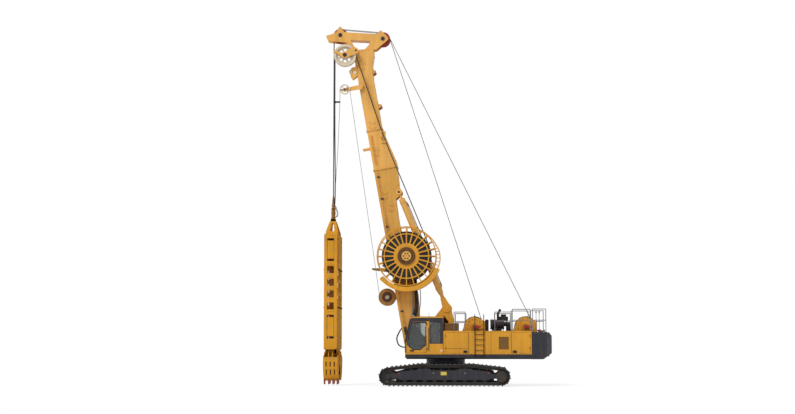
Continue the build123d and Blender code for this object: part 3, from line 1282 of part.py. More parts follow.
def grab_frame():
    """Hollow guide frame, open below, with its windows and the jaw brackets and pins."""
    x = (GRAB_X - GRAB_HALF_X, GRAB_X + GRAB_HALF_X)
    y = (-GRAB_HALF_Y, GRAB_HALF_Y)
    shell = block(x, y, GRAB_Z)
    shell -= block((x[0] + GRAB_WALL, x[1] - GRAB_WALL), (y[0] + GRAB_WALL, y[1] - GRAB_WALL),
                   (GRAB_Z[0] - 10, GRAB_Z[1] - GRAB_WALL))
    cuts = []
    half = END_WINDOW_WIDTH / 2
    for span in end_openings():
        cuts.append(block((GRAB_X - half, GRAB_X + half), (y[0] - 10, y[1] + 10), span))
    for span in END_FLAPS:
        for centre in BROAD_FLAP_Y:
            cuts.append(block((x[0] - 10, x[1] + 10), (centre - BROAD_FLAP_WIDTH / 2, centre + BROAD_FLAP_WIDTH / 2), span))
    half = BROAD_WINDOW / 2
    for centre_y, centre_z in BROAD_WINDOWS:
        cuts.append(block((x[0] - 10, x[1] + 10), (centre_y - half, centre_y + half), (centre_z - half, centre_z + half)))
    for sign in (-1, 1):
        edge = GRAB_X + sign * GRAB_HALF_X
        corner = [(edge - sign * GRAB_CHAMFER, GRAB_Z[0] - 1), (edge + sign, GRAB_Z[0] - 1), (edge + sign, GRAB_Z[0] + GRAB_CHAMFER)]
        for end in (-1, 1):
            cuts.append(slab(corner, *in_span(GRAB_HALF_Y - GRAB_WALL, GRAB_HALF_Y + 10, end)))
    brackets = []
    for sign in (-1, 1):
        span = sorted((GRAB_X + sign * JAW_BRACKET_X[0], GRAB_X + sign * JAW_BRACKET_X[1]))
        plate = slab_x(JAW_BRACKET_OUTLINE, *span)
        brackets.append(plate)
    pins = [bar_x(side * JAW_PIVOT_Y, JAW_PIVOT_Z, JAW_PIN_RADIUS, GRAB_X - JAW_PIN_HALF, GRAB_X + JAW_PIN_HALF)
            for side in (-1, 1)]
    return fused([shell - cuts, *brackets, *pins])


def grab_head():
    """A-shaped top plates with the swivel stem."""
    outline = [(GRAB_X + dx, z) for dx, z in GRAB_HEAD_OUTLINE]
    slot = [(GRAB_X + dx, z) for dx, z in GRAB_HEAD_SLOT]
    pieces = []
    for side in (-1, 1):
        span = in_span(*GRAB_HEAD_Y, side)
        pieces.append(slab(outline, *span) - slab(slot, *span))
    for z_low, z_high in GRAB_HEAD_SPAN:
        pieces.append(block((GRAB_X - 120, GRAB_X + 120), (-GRAB_HEAD_Y[0], GRAB_HEAD_Y[0]), (z_low, z_high)))
    pieces.append(post(GRAB_X, 0, SWIVEL_RADIUS, HEAD_TOP_Z - 20, SWIVEL_TOP))
    return fused(pieces)


def steering_plates():
    """Correction flaps in the frame's openings, each on its pin."""
    solids = []
    pin_half = END_WINDOW_WIDTH / 2 - SEAT
    for low, high in END_FLAPS:
        z = (low + FLAP_END_GAP, high - FLAP_END_GAP)
        pin_z = low + FLAP_END_GAP + 60
        for side in (-1, 1):
            y = in_span(GRAB_HALF_Y - FLAP_THICKNESS - 8, GRAB_HALF_Y - 8, side)
            plate = block((GRAB_X - END_WINDOW_WIDTH / 2 + FLAP_SIDE_GAP, GRAB_X + END_WINDOW_WIDTH / 2 - FLAP_SIDE_GAP), y, z)
            middle = side * (GRAB_HALF_Y - GRAB_WALL / 2)
            pin = bar_x(middle, pin_z, FLAP_PIN_RADIUS - 6, GRAB_X - pin_half, GRAB_X + pin_half)
            solids.append(fused([plate, pin]))
        for sign in (-1, 1):
            x = sorted((GRAB_X + sign * (GRAB_HALF_X - FLAP_THICKNESS - 8), GRAB_X + sign * (GRAB_HALF_X - 8)))
            middle = GRAB_X + sign * (GRAB_HALF_X - GRAB_WALL / 2)
            for centre in BROAD_FLAP_Y:
                half = BROAD_FLAP_WIDTH / 2
                plate = block(x, (centre - half + FLAP_SIDE_GAP, centre + half - FLAP_SIDE_GAP), z)
                pin = bar_y(middle, pin_z, FLAP_PIN_RADIUS - 6, centre - half + SEAT, centre + half - SEAT)
                solids.append(fused([plate, pin]))
    return group(solids)


def jaw_cylinder():
    """Barrel of the jaw cylinder on its block under the frame's top."""
    barrel = post(GRAB_X, 0, JAW_CYLINDER_RADIUS, *JAW_CYLINDER_Z)
    barrel -= post(GRAB_X, 0, JAW_ROD_RADIUS + RUNNING, JAW_CYLINDER_Z[0] - 10, JAW_CYLINDER_BORE_TOP)
    mount = block((GRAB_X - 180, GRAB_X + 180), (-200, 200), CYLINDER_MOUNT_Z)
    return fused([barrel, mount])


def jaw_lug():
    """Y and Z of the near jaw's lug."""
    angle = math.radians(JAW_LUG_ANGLE)
    return JAW_PIVOT_Y + JAW_LUG_REACH * math.cos(angle), JAW_PIVOT_Z + JAW_LUG_REACH * math.sin(angle)


def crosshead_z():
    """Height of the crosshead pins that the links set at rest."""
    lug_y, lug_z = jaw_lug()
    return lug_z + math.sqrt(LINK_LENGTH ** 2 - (lug_y + CROSSHEAD_PIN_Y) ** 2)


def crosshead():
    """Sliding block with the jaw cylinder's rod and the link pins."""
    z = crosshead_z()
    half_x, half_y, half_z = CROSSHEAD
    body = block((GRAB_X - half_x, GRAB_X + half_x), (-half_y, half_y), (z - half_z, z + half_z))
    pins = []
    for side in (-1, 1):
        y = side * CROSSHEAD_PIN_Y
        reach = LINK_EYE_RADIUS + SIDE_GAP
        body -= block((GRAB_X - CROSSHEAD_SLOT, GRAB_X + CROSSHEAD_SLOT), in_span(CROSSHEAD_PIN_Y - reach, half_y + 10, side),
                      (z - half_z - 10, z + reach))
        pins.append(bar_x(y, z, LINK_PIN_RADIUS, GRAB_X - half_x, GRAB_X + half_x))
    shaft = post(GRAB_X, 0, JAW_ROD_RADIUS, z + half_z - 5, JAW_ROD_TOP)
    return fused([body, *pins, shaft])


def near_link():
    """Link from the crosshead to the near jaw's lug."""
    lug_y, lug_z = jaw_lug()
    top_y, top_z = -CROSSHEAD_PIN_Y, crosshead_z()
    x = (GRAB_X - LINK_HALF, GRAB_X + LINK_HALF)
    dy, dz = (top_y - lug_y) / LINK_LENGTH, (top_z - lug_z) / LINK_LENGTH
    half = LINK_WIDTH / 2
    bar = [(lug_y - dz * half, lug_z + dy * half), (lug_y + dz * half, lug_z - dy * half),
           (top_y + dz * half, top_z - dy * half), (top_y - dz * half, top_z + dy * half)]
    body = fused([slab_x(bar, *x), bar_x(lug_y, lug_z, LINK_EYE_RADIUS, *x), bar_x(top_y, top_z, LINK_EYE_RADIUS, *x)])
    return body - [bar_x(top_y, top_z, LINK_PIN_RADIUS + RUNNING, *x), bar_x(lug_y, lug_z, LINK_PIN_RADIUS + RUNNING, *x)]


def near_jaw():
    """Bucket half with side plates, slotted back, hubs and link lugs."""
    x = (GRAB_X - JAW_HALF_X, GRAB_X + JAW_HALF_X)
    outline = JAW_BACK_OUTLINE + JAW_INNER_OUTLINE
    hollow = [(y + JAW_BACK * 0.9, z + JAW_BACK * 0.5) for y, z in JAW_BACK_OUTLINE]
    hollow[0] = (JAW_BACK_OUTLINE[0][0] + JAW_BACK, JAW_BACK_OUTLINE[0][1])
    hollow += [(hollow[-1][0], 1900), (200, 1900), (200, 235)]
    inside = (x[0] + JAW_SIDE, x[1] - JAW_SIDE)
    body = slab_x(outline, *x) - slab_x(hollow, *inside)
    slots = []
    for slot_x in JAW_SLOT_X:
        for slot_z in JAW_SLOT_Z:
            slots.append(block((GRAB_X + slot_x - JAW_SLOT[0] / 2, GRAB_X + slot_x + JAW_SLOT[0] / 2), (-1400, -850),
                               (slot_z - JAW_SLOT[1] / 2, slot_z + JAW_SLOT[1] / 2)))
    body -= slots
    hubs, lugs = [], []
    lug_y, lug_z = jaw_lug()
    for sign in (-1, 1):
        span = sorted((GRAB_X + sign * (JAW_HALF_X - JAW_SIDE), GRAB_X + sign * JAW_HUB_HALF))
        hubs.append(bar_x(JAW_PIVOT_Y, JAW_PIVOT_Z, JAW_HUB_RADIUS, *span))
        span = sorted((GRAB_X + sign * JAW_LUG_X[0], GRAB_X + sign * JAW_LUG_X[1]))
        plate = fused([slab_x(JAW_LUG_OUTLINE, *span), bar_x(lug_y, lug_z, JAW_LUG_RADIUS, *span)])
        lugs.append(plate - bar_x(lug_y, lug_z, JAW_LUG_BORE, *span))
    bore = bar_x(JAW_PIVOT_Y, JAW_PIVOT_Z, JAW_PIN_RADIUS + RUNNING, x[0] - 100, x[1] + 100)
    return fused([body - bore, *[hub - bore for hub in hubs], *lugs])


def near_teeth(places):
    """Teeth on the lip of the near jaw."""
    return group([slab_x(TOOTH_OUTLINE, GRAB_X + x - TOOTH_WIDTH / 2, GRAB_X + x + TOOTH_WIDTH / 2) for x in places])


def far(shape):
    """Mirror image on the far side."""
    return group([mirror(solid, about=Plane.XZ) for solid in shape.solids()])


TOP_ROLLER_SAG = 12         # the upper run's flat links dip below the hump's arc


def build_nodes():
    """All nodes by name, placed from the slewing axis."""
    nodes = {"carbody": carbody(), "slew_ring": slew_ring()}
    for name, side in (("left", -1), ("right", 1)):
        nodes[f"track_frame_{name}"] = track_frame(side)
        nodes[f"running_gear_{name}"] = running_gear(side)
        nodes[f"track_{name}"] = track(side)
        nodes[f"house_{name}"] = house(side)
        nodes[f"handrails_{name}"] = handrails(side)
    nodes["slewing_frame"] = slewing_frame()
    nodes["boom_brackets"] = group([boom_foot_brackets(), luff_brackets()])
    nodes["cab_shell"] = cab_shell()
    nodes["cab_glass"] = cab_glass()
    nodes["cab_door"] = cab_door()
    nodes["cab_door_glass"] = cab_door_glass()
    nodes["cab_interior"] = group([cab_seat(), cab_consoles()])
    for name, side, front, rear, hinge_front in HOUSE_DOORS:
        nodes[name] = house_door(side, front, rear, hinge_front)
    nodes["counterweight"] = counterweight()
    nodes["engine"] = group([block(*ENGINE), engine_top()])
    nodes["oil_cooler"] = block(*COOLER)
    nodes["side_tank"] = side_tank()
    nodes["ladder"] = ladder()
    nodes["work_lamps"] = work_lamps()
    nodes["winch_frames"] = group([*[winch_frame(x, z) for name, x, z in WINCHES], winch_drives()])
    for name, x, z in WINCHES:
        nodes[f"winch_drum_{name}"] = winch_drum(x, z)
    nodes["boom_lower"] = boom_lower()
    nodes["boom_middle"] = boom_middle()
    nodes["boom_upper"] = boom_upper()
    nodes["boom_head"] = boom_head()
    for name, x, z in SHEAVES:
        nodes[f"sheaves_{name}"] = sheave_pair(x, z)
    nodes["hose_sheave"] = hose_sheave()
    nodes["guide_wheel"] = guide_wheel()
    nodes["hose_reel"] = hose_reel()
    nodes["hose_coil"] = hose_coil()
    nodes["reel_guard"] = reel_guard()
    nodes["cable_reel"] = cable_reel()
    nodes["boom_fittings"] = group([hose_sheave_bracket(), guide_arm(), reel_mount(), cable_reel_bracket()])
    nodes["luff_barrels"] = luff_barrels()
    nodes["luff_rods"] = luff_rods()
    nodes["hoist_ropes"] = hoist_ropes()
    nodes["grab_suspension"] = grab_suspension()
    nodes["grab_frame"] = grab_frame()
    nodes["grab_head"] = grab_head()
    nodes["steering_plates"] = steering_plates()
    nodes["jaw_cylinder"] = jaw_cylinder()
    nodes["crosshead"] = crosshead()
    nodes["link_near"] = near_link()
    nodes["link_far"] = far(near_link())
    nodes["jaw_near"] = near_jaw()
    nodes["jaw_far"] = far(near_jaw())
    nodes["teeth_near"] = near_teeth(NEAR_TEETH_X)
    nodes["teeth_far"] = far(near_teeth(FAR_TEETH_X))
    return nodes


def main():
    """Write one STEP file for each node, with the box's middle over the origin."""
    os.makedirs("parts", exist_ok=True)
    for name, shape in build_nodes().items():
        placed = [Pos(-CENTRE_X, 0, 0) * solid for solid in shape.solids()]
        export_step(group(placed), f"parts/{name}.step")


if __name__ == "__main__":
    main()
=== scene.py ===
"""Looks of a crawler diaphragm wall grab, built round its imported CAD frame."""

import json
import math

import bmesh
import bpy
from bpy.props import FloatProperty, FloatVectorProperty, IntProperty, PointerProperty
from mathutils import Matrix, Vector


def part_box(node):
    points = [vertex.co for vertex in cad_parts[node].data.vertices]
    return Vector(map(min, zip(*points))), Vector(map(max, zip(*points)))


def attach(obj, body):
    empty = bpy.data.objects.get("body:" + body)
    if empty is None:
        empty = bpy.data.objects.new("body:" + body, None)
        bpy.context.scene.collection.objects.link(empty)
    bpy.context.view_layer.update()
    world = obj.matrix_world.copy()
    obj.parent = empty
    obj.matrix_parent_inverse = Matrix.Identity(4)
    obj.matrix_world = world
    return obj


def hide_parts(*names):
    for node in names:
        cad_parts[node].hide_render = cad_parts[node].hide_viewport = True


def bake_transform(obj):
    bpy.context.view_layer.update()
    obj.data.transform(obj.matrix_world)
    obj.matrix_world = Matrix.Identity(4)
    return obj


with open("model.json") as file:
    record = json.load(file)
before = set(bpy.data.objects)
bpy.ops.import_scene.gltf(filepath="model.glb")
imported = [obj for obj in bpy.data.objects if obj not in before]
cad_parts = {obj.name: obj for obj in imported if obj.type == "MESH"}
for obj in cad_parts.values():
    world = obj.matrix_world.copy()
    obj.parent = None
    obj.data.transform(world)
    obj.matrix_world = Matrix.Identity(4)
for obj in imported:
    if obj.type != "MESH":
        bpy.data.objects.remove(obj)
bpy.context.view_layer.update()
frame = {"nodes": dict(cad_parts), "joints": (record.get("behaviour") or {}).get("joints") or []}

bl_info = {
    "name": "Diaphragm wall grab",
    "version": (1, 0, 0),
    "blender": (4, 5, 0),
    "location": "View3D > Sidebar > Grab",
    "description": "Paint, ropes, hoses and trim for a crawler diaphragm wall grab",
    "category": "Object",
}

JOINTS = {joint["name"]: joint for joint in frame["joints"]}


def pin(name):
    """Place of a joint's axis, in metres."""
    return Vector(JOINTS[name]["pos_m"])


SLEW_X = pin("slew").x
FOOT_PIN = pin("boom_luff")
BASE_PIN = pin("luff_barrel_swing")
REEL = pin("hose_reel_turn")
CABLE_REEL = pin("cable_reel_turn")
HOSE_SHEAVE = pin("hose_sheave_turn")
GUIDE_WHEEL = pin("guide_wheel_turn")
FRONT_SHEAVES = pin("sheaves_front_turn")
REAR_SHEAVES = pin("sheaves_rear_turn")
WINCHES = {name: pin(f"winch_{name}_turn") for name in ("front", "rear")}
GRAB = pin("grab_turn")
BOOM_LEAN = math.radians(10)
ROPE_CIRCLE = FRONT_SHEAVES.x - GRAB.x
ROPE_Y = 0.1
ROPES = (("front", -ROPE_Y, 10), ("rear", ROPE_Y, 24))    # winch, lane, angle where it leaves the head
HOSE_Y = (-0.71, -0.59)
HOSE_WHEEL_RADIUS = 0.507
HOSE_SPLIT = 13.95          # height where the hoses change from the head to the hanging ropes
REEL_FACE = -1.26           # near face of the hose reel's rim
GEAR_FACE = -1.314          # near face of its gear ring
HUB_FACE = -1.34            # near face of its hub cap
HOOP_Y = -1.20              # middle of the hoop beside it
HOUSE_WALL = 1.60           # outer faces of either side
TRACK_WALL = 2.03
GRAB_WALL = 1.20
HOUSE_TOP = 2.63            # heights of the decks
WEIGHT_TOP = 2.565
DRUM_RADIUS = 0.40          # winch drums under their rope
CHIPPED = (0.16, 0.11, 0.075)    # colour under chipped paint
DOOR_WINDOW = [(-1.76, 1.99), (-1.76, 2.095), (-1.57, 3.01), (-0.93, 3.01), (-0.93, 1.965), (-1.18, 1.76),
               (-1.52, 1.76)]


def at(x, y, z):
    """Point of the frame from one that is measured from the slewing axis."""
    return Vector((x + SLEW_X, y, z))


CYLINDER_LUG = at(-2.2704, 0, 9.4648)    # upper pin of the luffing cylinders


def sideways(y):
    """Step along Y."""
    return Vector((0, y, 0))


def on_boom(along, across, y):
    """Point of the boom: along it from the foot pin, across towards the tail, and sideways."""
    x = FOOT_PIN.x - along * math.sin(BOOM_LEAN) + across * math.cos(BOOM_LEAN)
    z = FOOT_PIN.z + along * math.cos(BOOM_LEAN) + across * math.sin(BOOM_LEAN)
    return Vector((x, y, z))


def at_places(places):
    """Outline of X and Z in the frame from one that is measured from the slewing axis."""
    return [(x + SLEW_X, z) for x, z in places]


def flat(points):
    """X and Z of points."""
    return [(point.x, point.z) for point in points]


def circle(count, shift=0.0):
    """Directions in X and Z, evenly all round; the first may be shifted by a share of the step."""
    turns = [2 * math.pi * (number + shift) / count for number in range(count)]
    return [Vector((math.cos(turn), 0, math.sin(turn))) for turn in turns]


def wall_box(maker, side, x_low, x_high, z_low, z_high, wall, depth):
    """Thin box that stands out from a side wall."""
    low, high = sorted((wall, wall + side * depth))
    maker.box(at(x_low, low, z_low), at(x_high, high, z_high))


def colour_property(label, about, value):
    """Colour that the sidebar shows as a swatch."""
    return FloatVectorProperty(name=label, description=about, subtype="COLOR", size=3, min=0, max=1,
                               default=value)


def length_property(label, about, value):
    """Length in metres."""
    return FloatProperty(name=label, description=about, unit="LENGTH", min=0, default=value)


def angle_property(label, about, degrees):
    """Angle, given in degrees."""
    return FloatProperty(name=label, description=about, subtype="ANGLE", default=math.radians(degrees))


class GrabPaint(bpy.types.PropertyGroup):
    """Colours of the machine."""

    body: colour_property("Body", "Paint of the cab, houses and grab", (0.72, 0.335, 0.030))
    # Boom and Boom foot are copies of one paint: the upper boom's is lighter as painted light, the lower
    # boom's is darker as painted shade and a little deeper in tone.
    boom: colour_property("Boom", "Paint of the upper boom and its arms", (0.86, 0.46, 0.115))
    foot: colour_property("Boom foot", "Paint of the lower boom", (0.72, 0.37, 0.075))
    slate: colour_property("Slate", "Paint of the slewing frame and counterweight", (0.030, 0.033, 0.043))
    track: colour_property("Track", "Worn steel of the track shoes", (0.020, 0.019, 0.019))
    black: colour_property("Black", "Black paint of rails and small gear", (0.013, 0.013, 0.014))
    red: colour_property("Red", "Paint of the rope sheaves", (0.40, 0.042, 0.032))
    cream: colour_property("Cream", "Paint of the hose wheel", (0.76, 0.66, 0.50))
    tooth: colour_property("Tooth", "Rusty steel of the teeth", (0.26, 0.055, 0.030))
    # Brown is painted shade: the colour put on insides and backs of openings.
    brown: colour_property("Brown", "Shaded backs of openings", (0.085, 0.032, 0.012))
    ochre: colour_property("Ochre", "Dull yellow of the cooler and the treads", (0.30, 0.15, 0.035))
    rail: colour_property("Rail", "Grey of the hand rails", (0.22, 0.22, 0.22))
    # Rusty yellow of its own on the swivel and cable reel, and painted shade on the linkage inside the grab's
    # frame.
    rust_and_shade: colour_property("Rust", "Rusty yellow of the grab's swivel and linkage", (0.32, 0.15, 0.035))
    dust: colour_property("Dust", "Dust and dried mud", (0.25, 0.13, 0.05))


class GrabWear(bpy.types.PropertyGroup):
    """Weathering of the paint."""

    dirt: FloatProperty(name="Dirt", description="Share of paint under dust", min=0, max=1, default=0.28)
    chips: FloatProperty(name="Chips", description="Worn paint along edges", min=0, max=1, default=0.5)
    bevel: length_property("Edge rounding", "Rounding of plate edges", 0.010)


class GrabRigging(bpy.types.PropertyGroup):
    """Ropes and hoses."""

    rope_radius: length_property("Rope radius", "Half the hoist rope's thickness", 0.016)
    rope_lay: length_property("Rope lay", "Length of one turn of a strand", 0.24)
    strands: IntProperty(name="Strands", description="Strands in a rope", min=3, max=8, default=6)
    hose_radius: length_property("Hose radius", "Half the hydraulic hose's thickness", 0.024)
    cable_radius: length_property("Cable radius", "Half the control cable's thickness", 0.010)


class GrabStage(bpy.types.PropertyGroup):
    """Camera, lights and floor."""

    camera: FloatVectorProperty(name="Camera", description="Camera place from the slewing axis",
                                subtype="XYZ", unit="LENGTH", default=(2.0, -70.0, 1.8))
    yaw: angle_property("Yaw", "Turn towards the grab", 3.566)
    pitch: angle_property("Pitch", "Tilt upwards", 5.673)
    lens: FloatProperty(name="Lens", description="Focal length in millimetres", min=1, default=64.43)
    sun: FloatProperty(name="Sun", description="Strength of the soft key light", min=0, default=1.5)
    sky: FloatProperty(name="Sky", description="Strength of the light from all round", min=0, default=0.5)
    floor: colour_property("Floor", "Pale studio floor", (0.86, 0.86, 0.86))


# Finishes
class Finish:
    """Node material that is put together step by step."""

    def __init__(self, name):
        self.material = bpy.data.materials.new(name)
        self.material.use_nodes = True
        self.tree = self.material.node_tree
        self.shader = self.tree.nodes["Principled BSDF"]

    def add(self, kind, inputs=None, **settings):
        """New node with its settings and inputs; an input is a value or another node's socket."""
        node = self.tree.nodes.new(kind)
        for key, value in settings.items():
            setattr(node, key, value)
        for key, value in (inputs or {}).items():
            self.set(node, key, value)
        return node

    def set(self, node, key, value):
        """Link or write one input."""
        if isinstance(value, bpy.types.NodeSocket):
            self.tree.links.new(value, node.inputs[key])
        else:
            node.inputs[key].default_value = value

    def shade(self, key, value):
        """Link or write one input of the shader."""
        self.set(self.shader, key, value)

    def place(self, stretch=(1, 1, 1)):
        """Object coordinates in metres, stretched along the axes."""
        coords = self.add("ShaderNodeTexCoord").outputs["Object"]
        if stretch == (1, 1, 1):
            return coords
        return self.add("ShaderNodeMapping", {"Vector": coords, "Scale": stretch}).outputs["Vector"]

    def noise(self, scale, detail=4, stretch=(1, 1, 1)):
        """Noise over the surface, from 0 to 1."""
        node = self.add("ShaderNodeTexNoise",
                        {"Vector": self.place(stretch), "Scale": scale, "Detail": detail})
        return node.outputs["Fac"]

    def between(self, value, low, high, to_low=0, to_high=1):
        """A value from low to high moved to another range, and held to it."""
        node = self.add("ShaderNodeMapRange", {"Value": value, "From Min": low, "From Max": high,
                                               "To Min": to_low, "To Max": to_high})
        return node.outputs["Result"]

    def times(self, first, second):
        """Product of two values."""
        node = self.add("ShaderNodeMath", operation="MULTIPLY")
        self.set(node, 0, first)
        self.set(node, 1, second)
        return node.outputs["Value"]

    def mix(self, factor, first, second):
        """Colour between two colours."""
        node = self.add("ShaderNodeMix", data_type="RGBA")
        self.set(node, 0, factor)
        self.set(node, 6, first)
        self.set(node, 7, second)
        return node.outputs[2]

    def edges(self, radius):
        """1 along convex edges, 0 on flat faces."""
        rounded = self.add("ShaderNodeBevel", {"Radius": radius}, samples=4)
        plain = self.add("ShaderNodeNewGeometry").outputs["Normal"]
        dot = self.add("ShaderNodeVectorMath", operation="DOT_PRODUCT")
        self.set(dot, 0, rounded.outputs["Normal"])
        self.set(dot, 1, plain)
        return self.between(dot.outputs["Value"], 0.995, 0.86)

    def bump(self, height, strength, distance):
        """Relief on the shader's normal."""
        node = self.add("ShaderNodeBump", {"Height": height, "Strength": strength, "Distance": distance})
        self.shade("Normal", node.outputs["Normal"])


def solid(colour, share=1.0):
    """Colour with alpha, made lighter or darker by a share."""
    return tuple(min(1.0, channel * share) for channel in colour) + (1.0,)


def painted(name, colour, dirt, chips, roughness=0.42, gloss=0.2):
    """Weathered paint: broad fading, dust streaks, chipped edges and a little orange peel."""
    finish = Finish(name)
    broad = finish.noise(0.8)
    fine = finish.noise(16, detail=6)
    tone = finish.mix(finish.between(broad, 0.3, 0.7), solid(colour, 0.88), solid(colour, 1.08))
    streaks = finish.between(finish.noise(1.0, 5, (5.0, 5.0, 0.45)), 0.46, 0.78)
    dust = bpy.context.scene.grab_paint.dust
    dusty = finish.mix(finish.times(streaks, dirt), tone, solid(dust))
    worn = finish.times(finish.edges(0.03), finish.between(fine, 0.42, 0.62))
    finish.shade("Base Color", finish.mix(finish.times(worn, chips), dusty, solid(CHIPPED)))
    finish.shade("Roughness", finish.between(fine, 0.3, 0.7, roughness - 0.08, roughness + 0.12))
    finish.shade("Specular IOR Level", gloss)
    finish.bump(fine, 0.06, 0.004)
    return finish.material


def muddy_steel(name, colour, dust_share):
    """Dark worn steel with dried mud in patches."""
    finish = Finish(name)
    patch = finish.between(finish.noise(2.4, 6), 0.5, 0.72)
    fine = finish.noise(38, detail=5)
    dust = bpy.context.scene.grab_paint.dust
    tone = finish.mix(finish.between(fine, 0.3, 0.7), solid(colour, 0.7), solid(colour, 1.5))
    muddy = finish.mix(finish.times(patch, dust_share), tone, solid(dust, 0.45))
    rubbed = finish.times(finish.edges(0.02), 0.55)
    finish.shade("Base Color", finish.mix(rubbed, muddy, (0.14, 0.135, 0.13, 1)))
    finish.shade("Roughness", finish.between(patch, 0, 1, 0.48, 0.86))
    finish.shade("Metallic", 0.35)
    finish.bump(fine, 0.25, 0.006)
    return finish.material


def greased_steel(name, colour, roughness, metallic=0.85):
    """Bare steel with patches of grease."""
    finish = Finish(name)
    fine = finish.noise(60, detail=4)
    grease = finish.between(finish.noise(5, 5), 0.42, 0.66)
    tone = finish.mix(grease, solid(colour), solid(colour, 0.45))
    finish.shade("Base Color", tone)
    finish.shade("Roughness", finish.between(fine, 0.3, 0.7, roughness, roughness + 0.15))
    finish.shade("Metallic", metallic)
    finish.bump(fine, 0.05, 0.002)
    return finish.material


def rubber(name, colour):
    """Dusty black hose rubber."""
    finish = Finish(name)
    fine = finish.noise(90, detail=3)
    dusty = finish.between(finish.noise(3, 5), 0.5, 0.8, 0, 0.35)
    dust = bpy.context.scene.grab_paint.dust
    finish.shade("Base Color", finish.mix(dusty, solid(colour), solid(dust, 0.5)))
    finish.shade("Roughness", finish.between(fine, 0.3, 0.7, 0.5, 0.7))
    finish.bump(fine, 0.2, 0.002)
    return finish.material


def tinted_glass(name):
    """Dusty tinted cab glass."""
    finish = Finish(name)
    film = finish.between(finish.noise(3, 6), 0.45, 0.8, 0, 0.25)
    finish.shade("Base Color", finish.mix(film, (0.55, 0.60, 0.60, 1), (0.60, 0.60, 0.57, 1)))
    finish.shade("Roughness", finish.between(film, 0, 0.25, 0.03, 0.22))
    finish.shade("Transmission Weight", 0.95)
    finish.shade("IOR", 1.45)
    return finish.material


def lamp_lens(name, colour):
    """Moulded lens with fine ribs."""
    finish = Finish(name)
    ribs = finish.add("ShaderNodeTexWave", {"Vector": finish.place(), "Scale": 30.0, "Distortion": 0.5})
    finish.shade("Base Color", finish.mix(ribs.outputs["Fac"], solid(colour, 0.75), solid(colour)))
    finish.shade("Roughness", 0.12)
    finish.shade("Coat Weight", 0.6)
    finish.bump(ribs.outputs["Fac"], 0.3, 0.004)
    return finish.material


def woven(name, colour):
    """Woven seat cloth."""
    finish = Finish(name)
    across = finish.add("ShaderNodeTexWave", {"Vector": finish.place(), "Scale": 180.0, "Distortion": 1.0})
    along = finish.add("ShaderNodeTexWave", {"Vector": finish.place(), "Scale": 180.0, "Distortion": 1.0},
                       bands_direction="Z")
    weave = finish.times(across.outputs["Fac"], along.outputs["Fac"])
    finish.shade("Base Color", finish.mix(weave, solid(colour, 0.7), solid(colour, 1.3)))
    finish.shade("Roughness", 0.9)
    finish.shade("Sheen Weight", 0.3)
    finish.bump(weave, 0.4, 0.002)
    return finish.material


FINISHES = {}


def make_finishes():
    """All finishes by name, from the sidebar's colours."""
    paint = bpy.context.scene.grab_paint
    wear = bpy.context.scene.grab_wear
    dirt, chips = wear.dirt, wear.chips
    FINISHES["body"] = painted("body paint", paint.body, dirt, chips)
    # Lit and shaded copies of one boom paint: painted light above, painted shade and a deeper tone on the
    # foot.
    FINISHES["boom"] = painted("boom paint with painted light", paint.boom, dirt, chips)
    FINISHES["foot"] = painted("boom foot paint with painted shade", paint.foot, dirt, chips)
    FINISHES["grab"] = painted("grab paint", paint.body, dirt * 1.2, chips * 1.6, roughness=0.6, gloss=0.02)
    FINISHES["slate"] = painted("slate paint", paint.slate, dirt * 0.5, chips * 0.6, roughness=0.4)
    FINISHES["black"] = painted("black paint", paint.black, dirt * 0.6, chips * 0.6)
    FINISHES["red"] = painted("sheave red", paint.red, dirt * 0.4, chips)
    FINISHES["cream"] = painted("hose wheel cream", paint.cream, dirt * 0.7, chips * 0.5)
    # Brown finish: painted shade for insides and backs of openings.
    FINISHES["brown"] = painted("shaded brown", paint.brown, dirt, chips * 0.4, roughness=0.6)
    FINISHES["track"] = muddy_steel("track steel", paint.track, 0.55)
    FINISHES["tooth"] = muddy_steel("tooth steel", paint.tooth, 0.3)
    FINISHES["steel"] = greased_steel("greased steel", (0.30, 0.29, 0.28), 0.38)
    FINISHES["rope"] = greased_steel("wire rope", (0.085, 0.084, 0.085), 0.45, 0.6)
    FINISHES["chrome"] = greased_steel("rod chrome", (0.72, 0.70, 0.66), 0.16, 1.0)
    FINISHES["hose"] = rubber("hose rubber", (0.010, 0.010, 0.011))
    FINISHES["glass"] = tinted_glass("cab glass")
    FINISHES["lens"] = lamp_lens("lamp lens", (0.82, 0.82, 0.78))
    FINISHES["red lens"] = lamp_lens("red lens", (0.55, 0.02, 0.02))
    FINISHES["seat"] = woven("seat cloth", (0.030, 0.031, 0.036))
    FINISHES["plate"] = painted("blank sign", (0.70, 0.55, 0.10), 0.1, 0.2)
    FINISHES["ochre"] = painted("ochre", paint.ochre, dirt, chips * 0.5, roughness=0.6)
    FINISHES["rail"] = painted("rail grey", paint.rail, dirt * 0.4, chips * 0.5)
    # Rusty yellow finish, also used as painted shade on the grab's inner linkage.
    FINISHES["rust_and_shade"] = painted("rusty yellow with painted shade", paint.rust_and_shade, dirt * 1.6, chips, roughness=0.65)
    FINISHES["white"] = painted("white enamel", (0.78, 0.78, 0.76), 0.2, 0.3)


HOUSE_DOORS = [f"house_door_{place}_{side}" for side in ("left", "right") for place in ("front", "rear")]

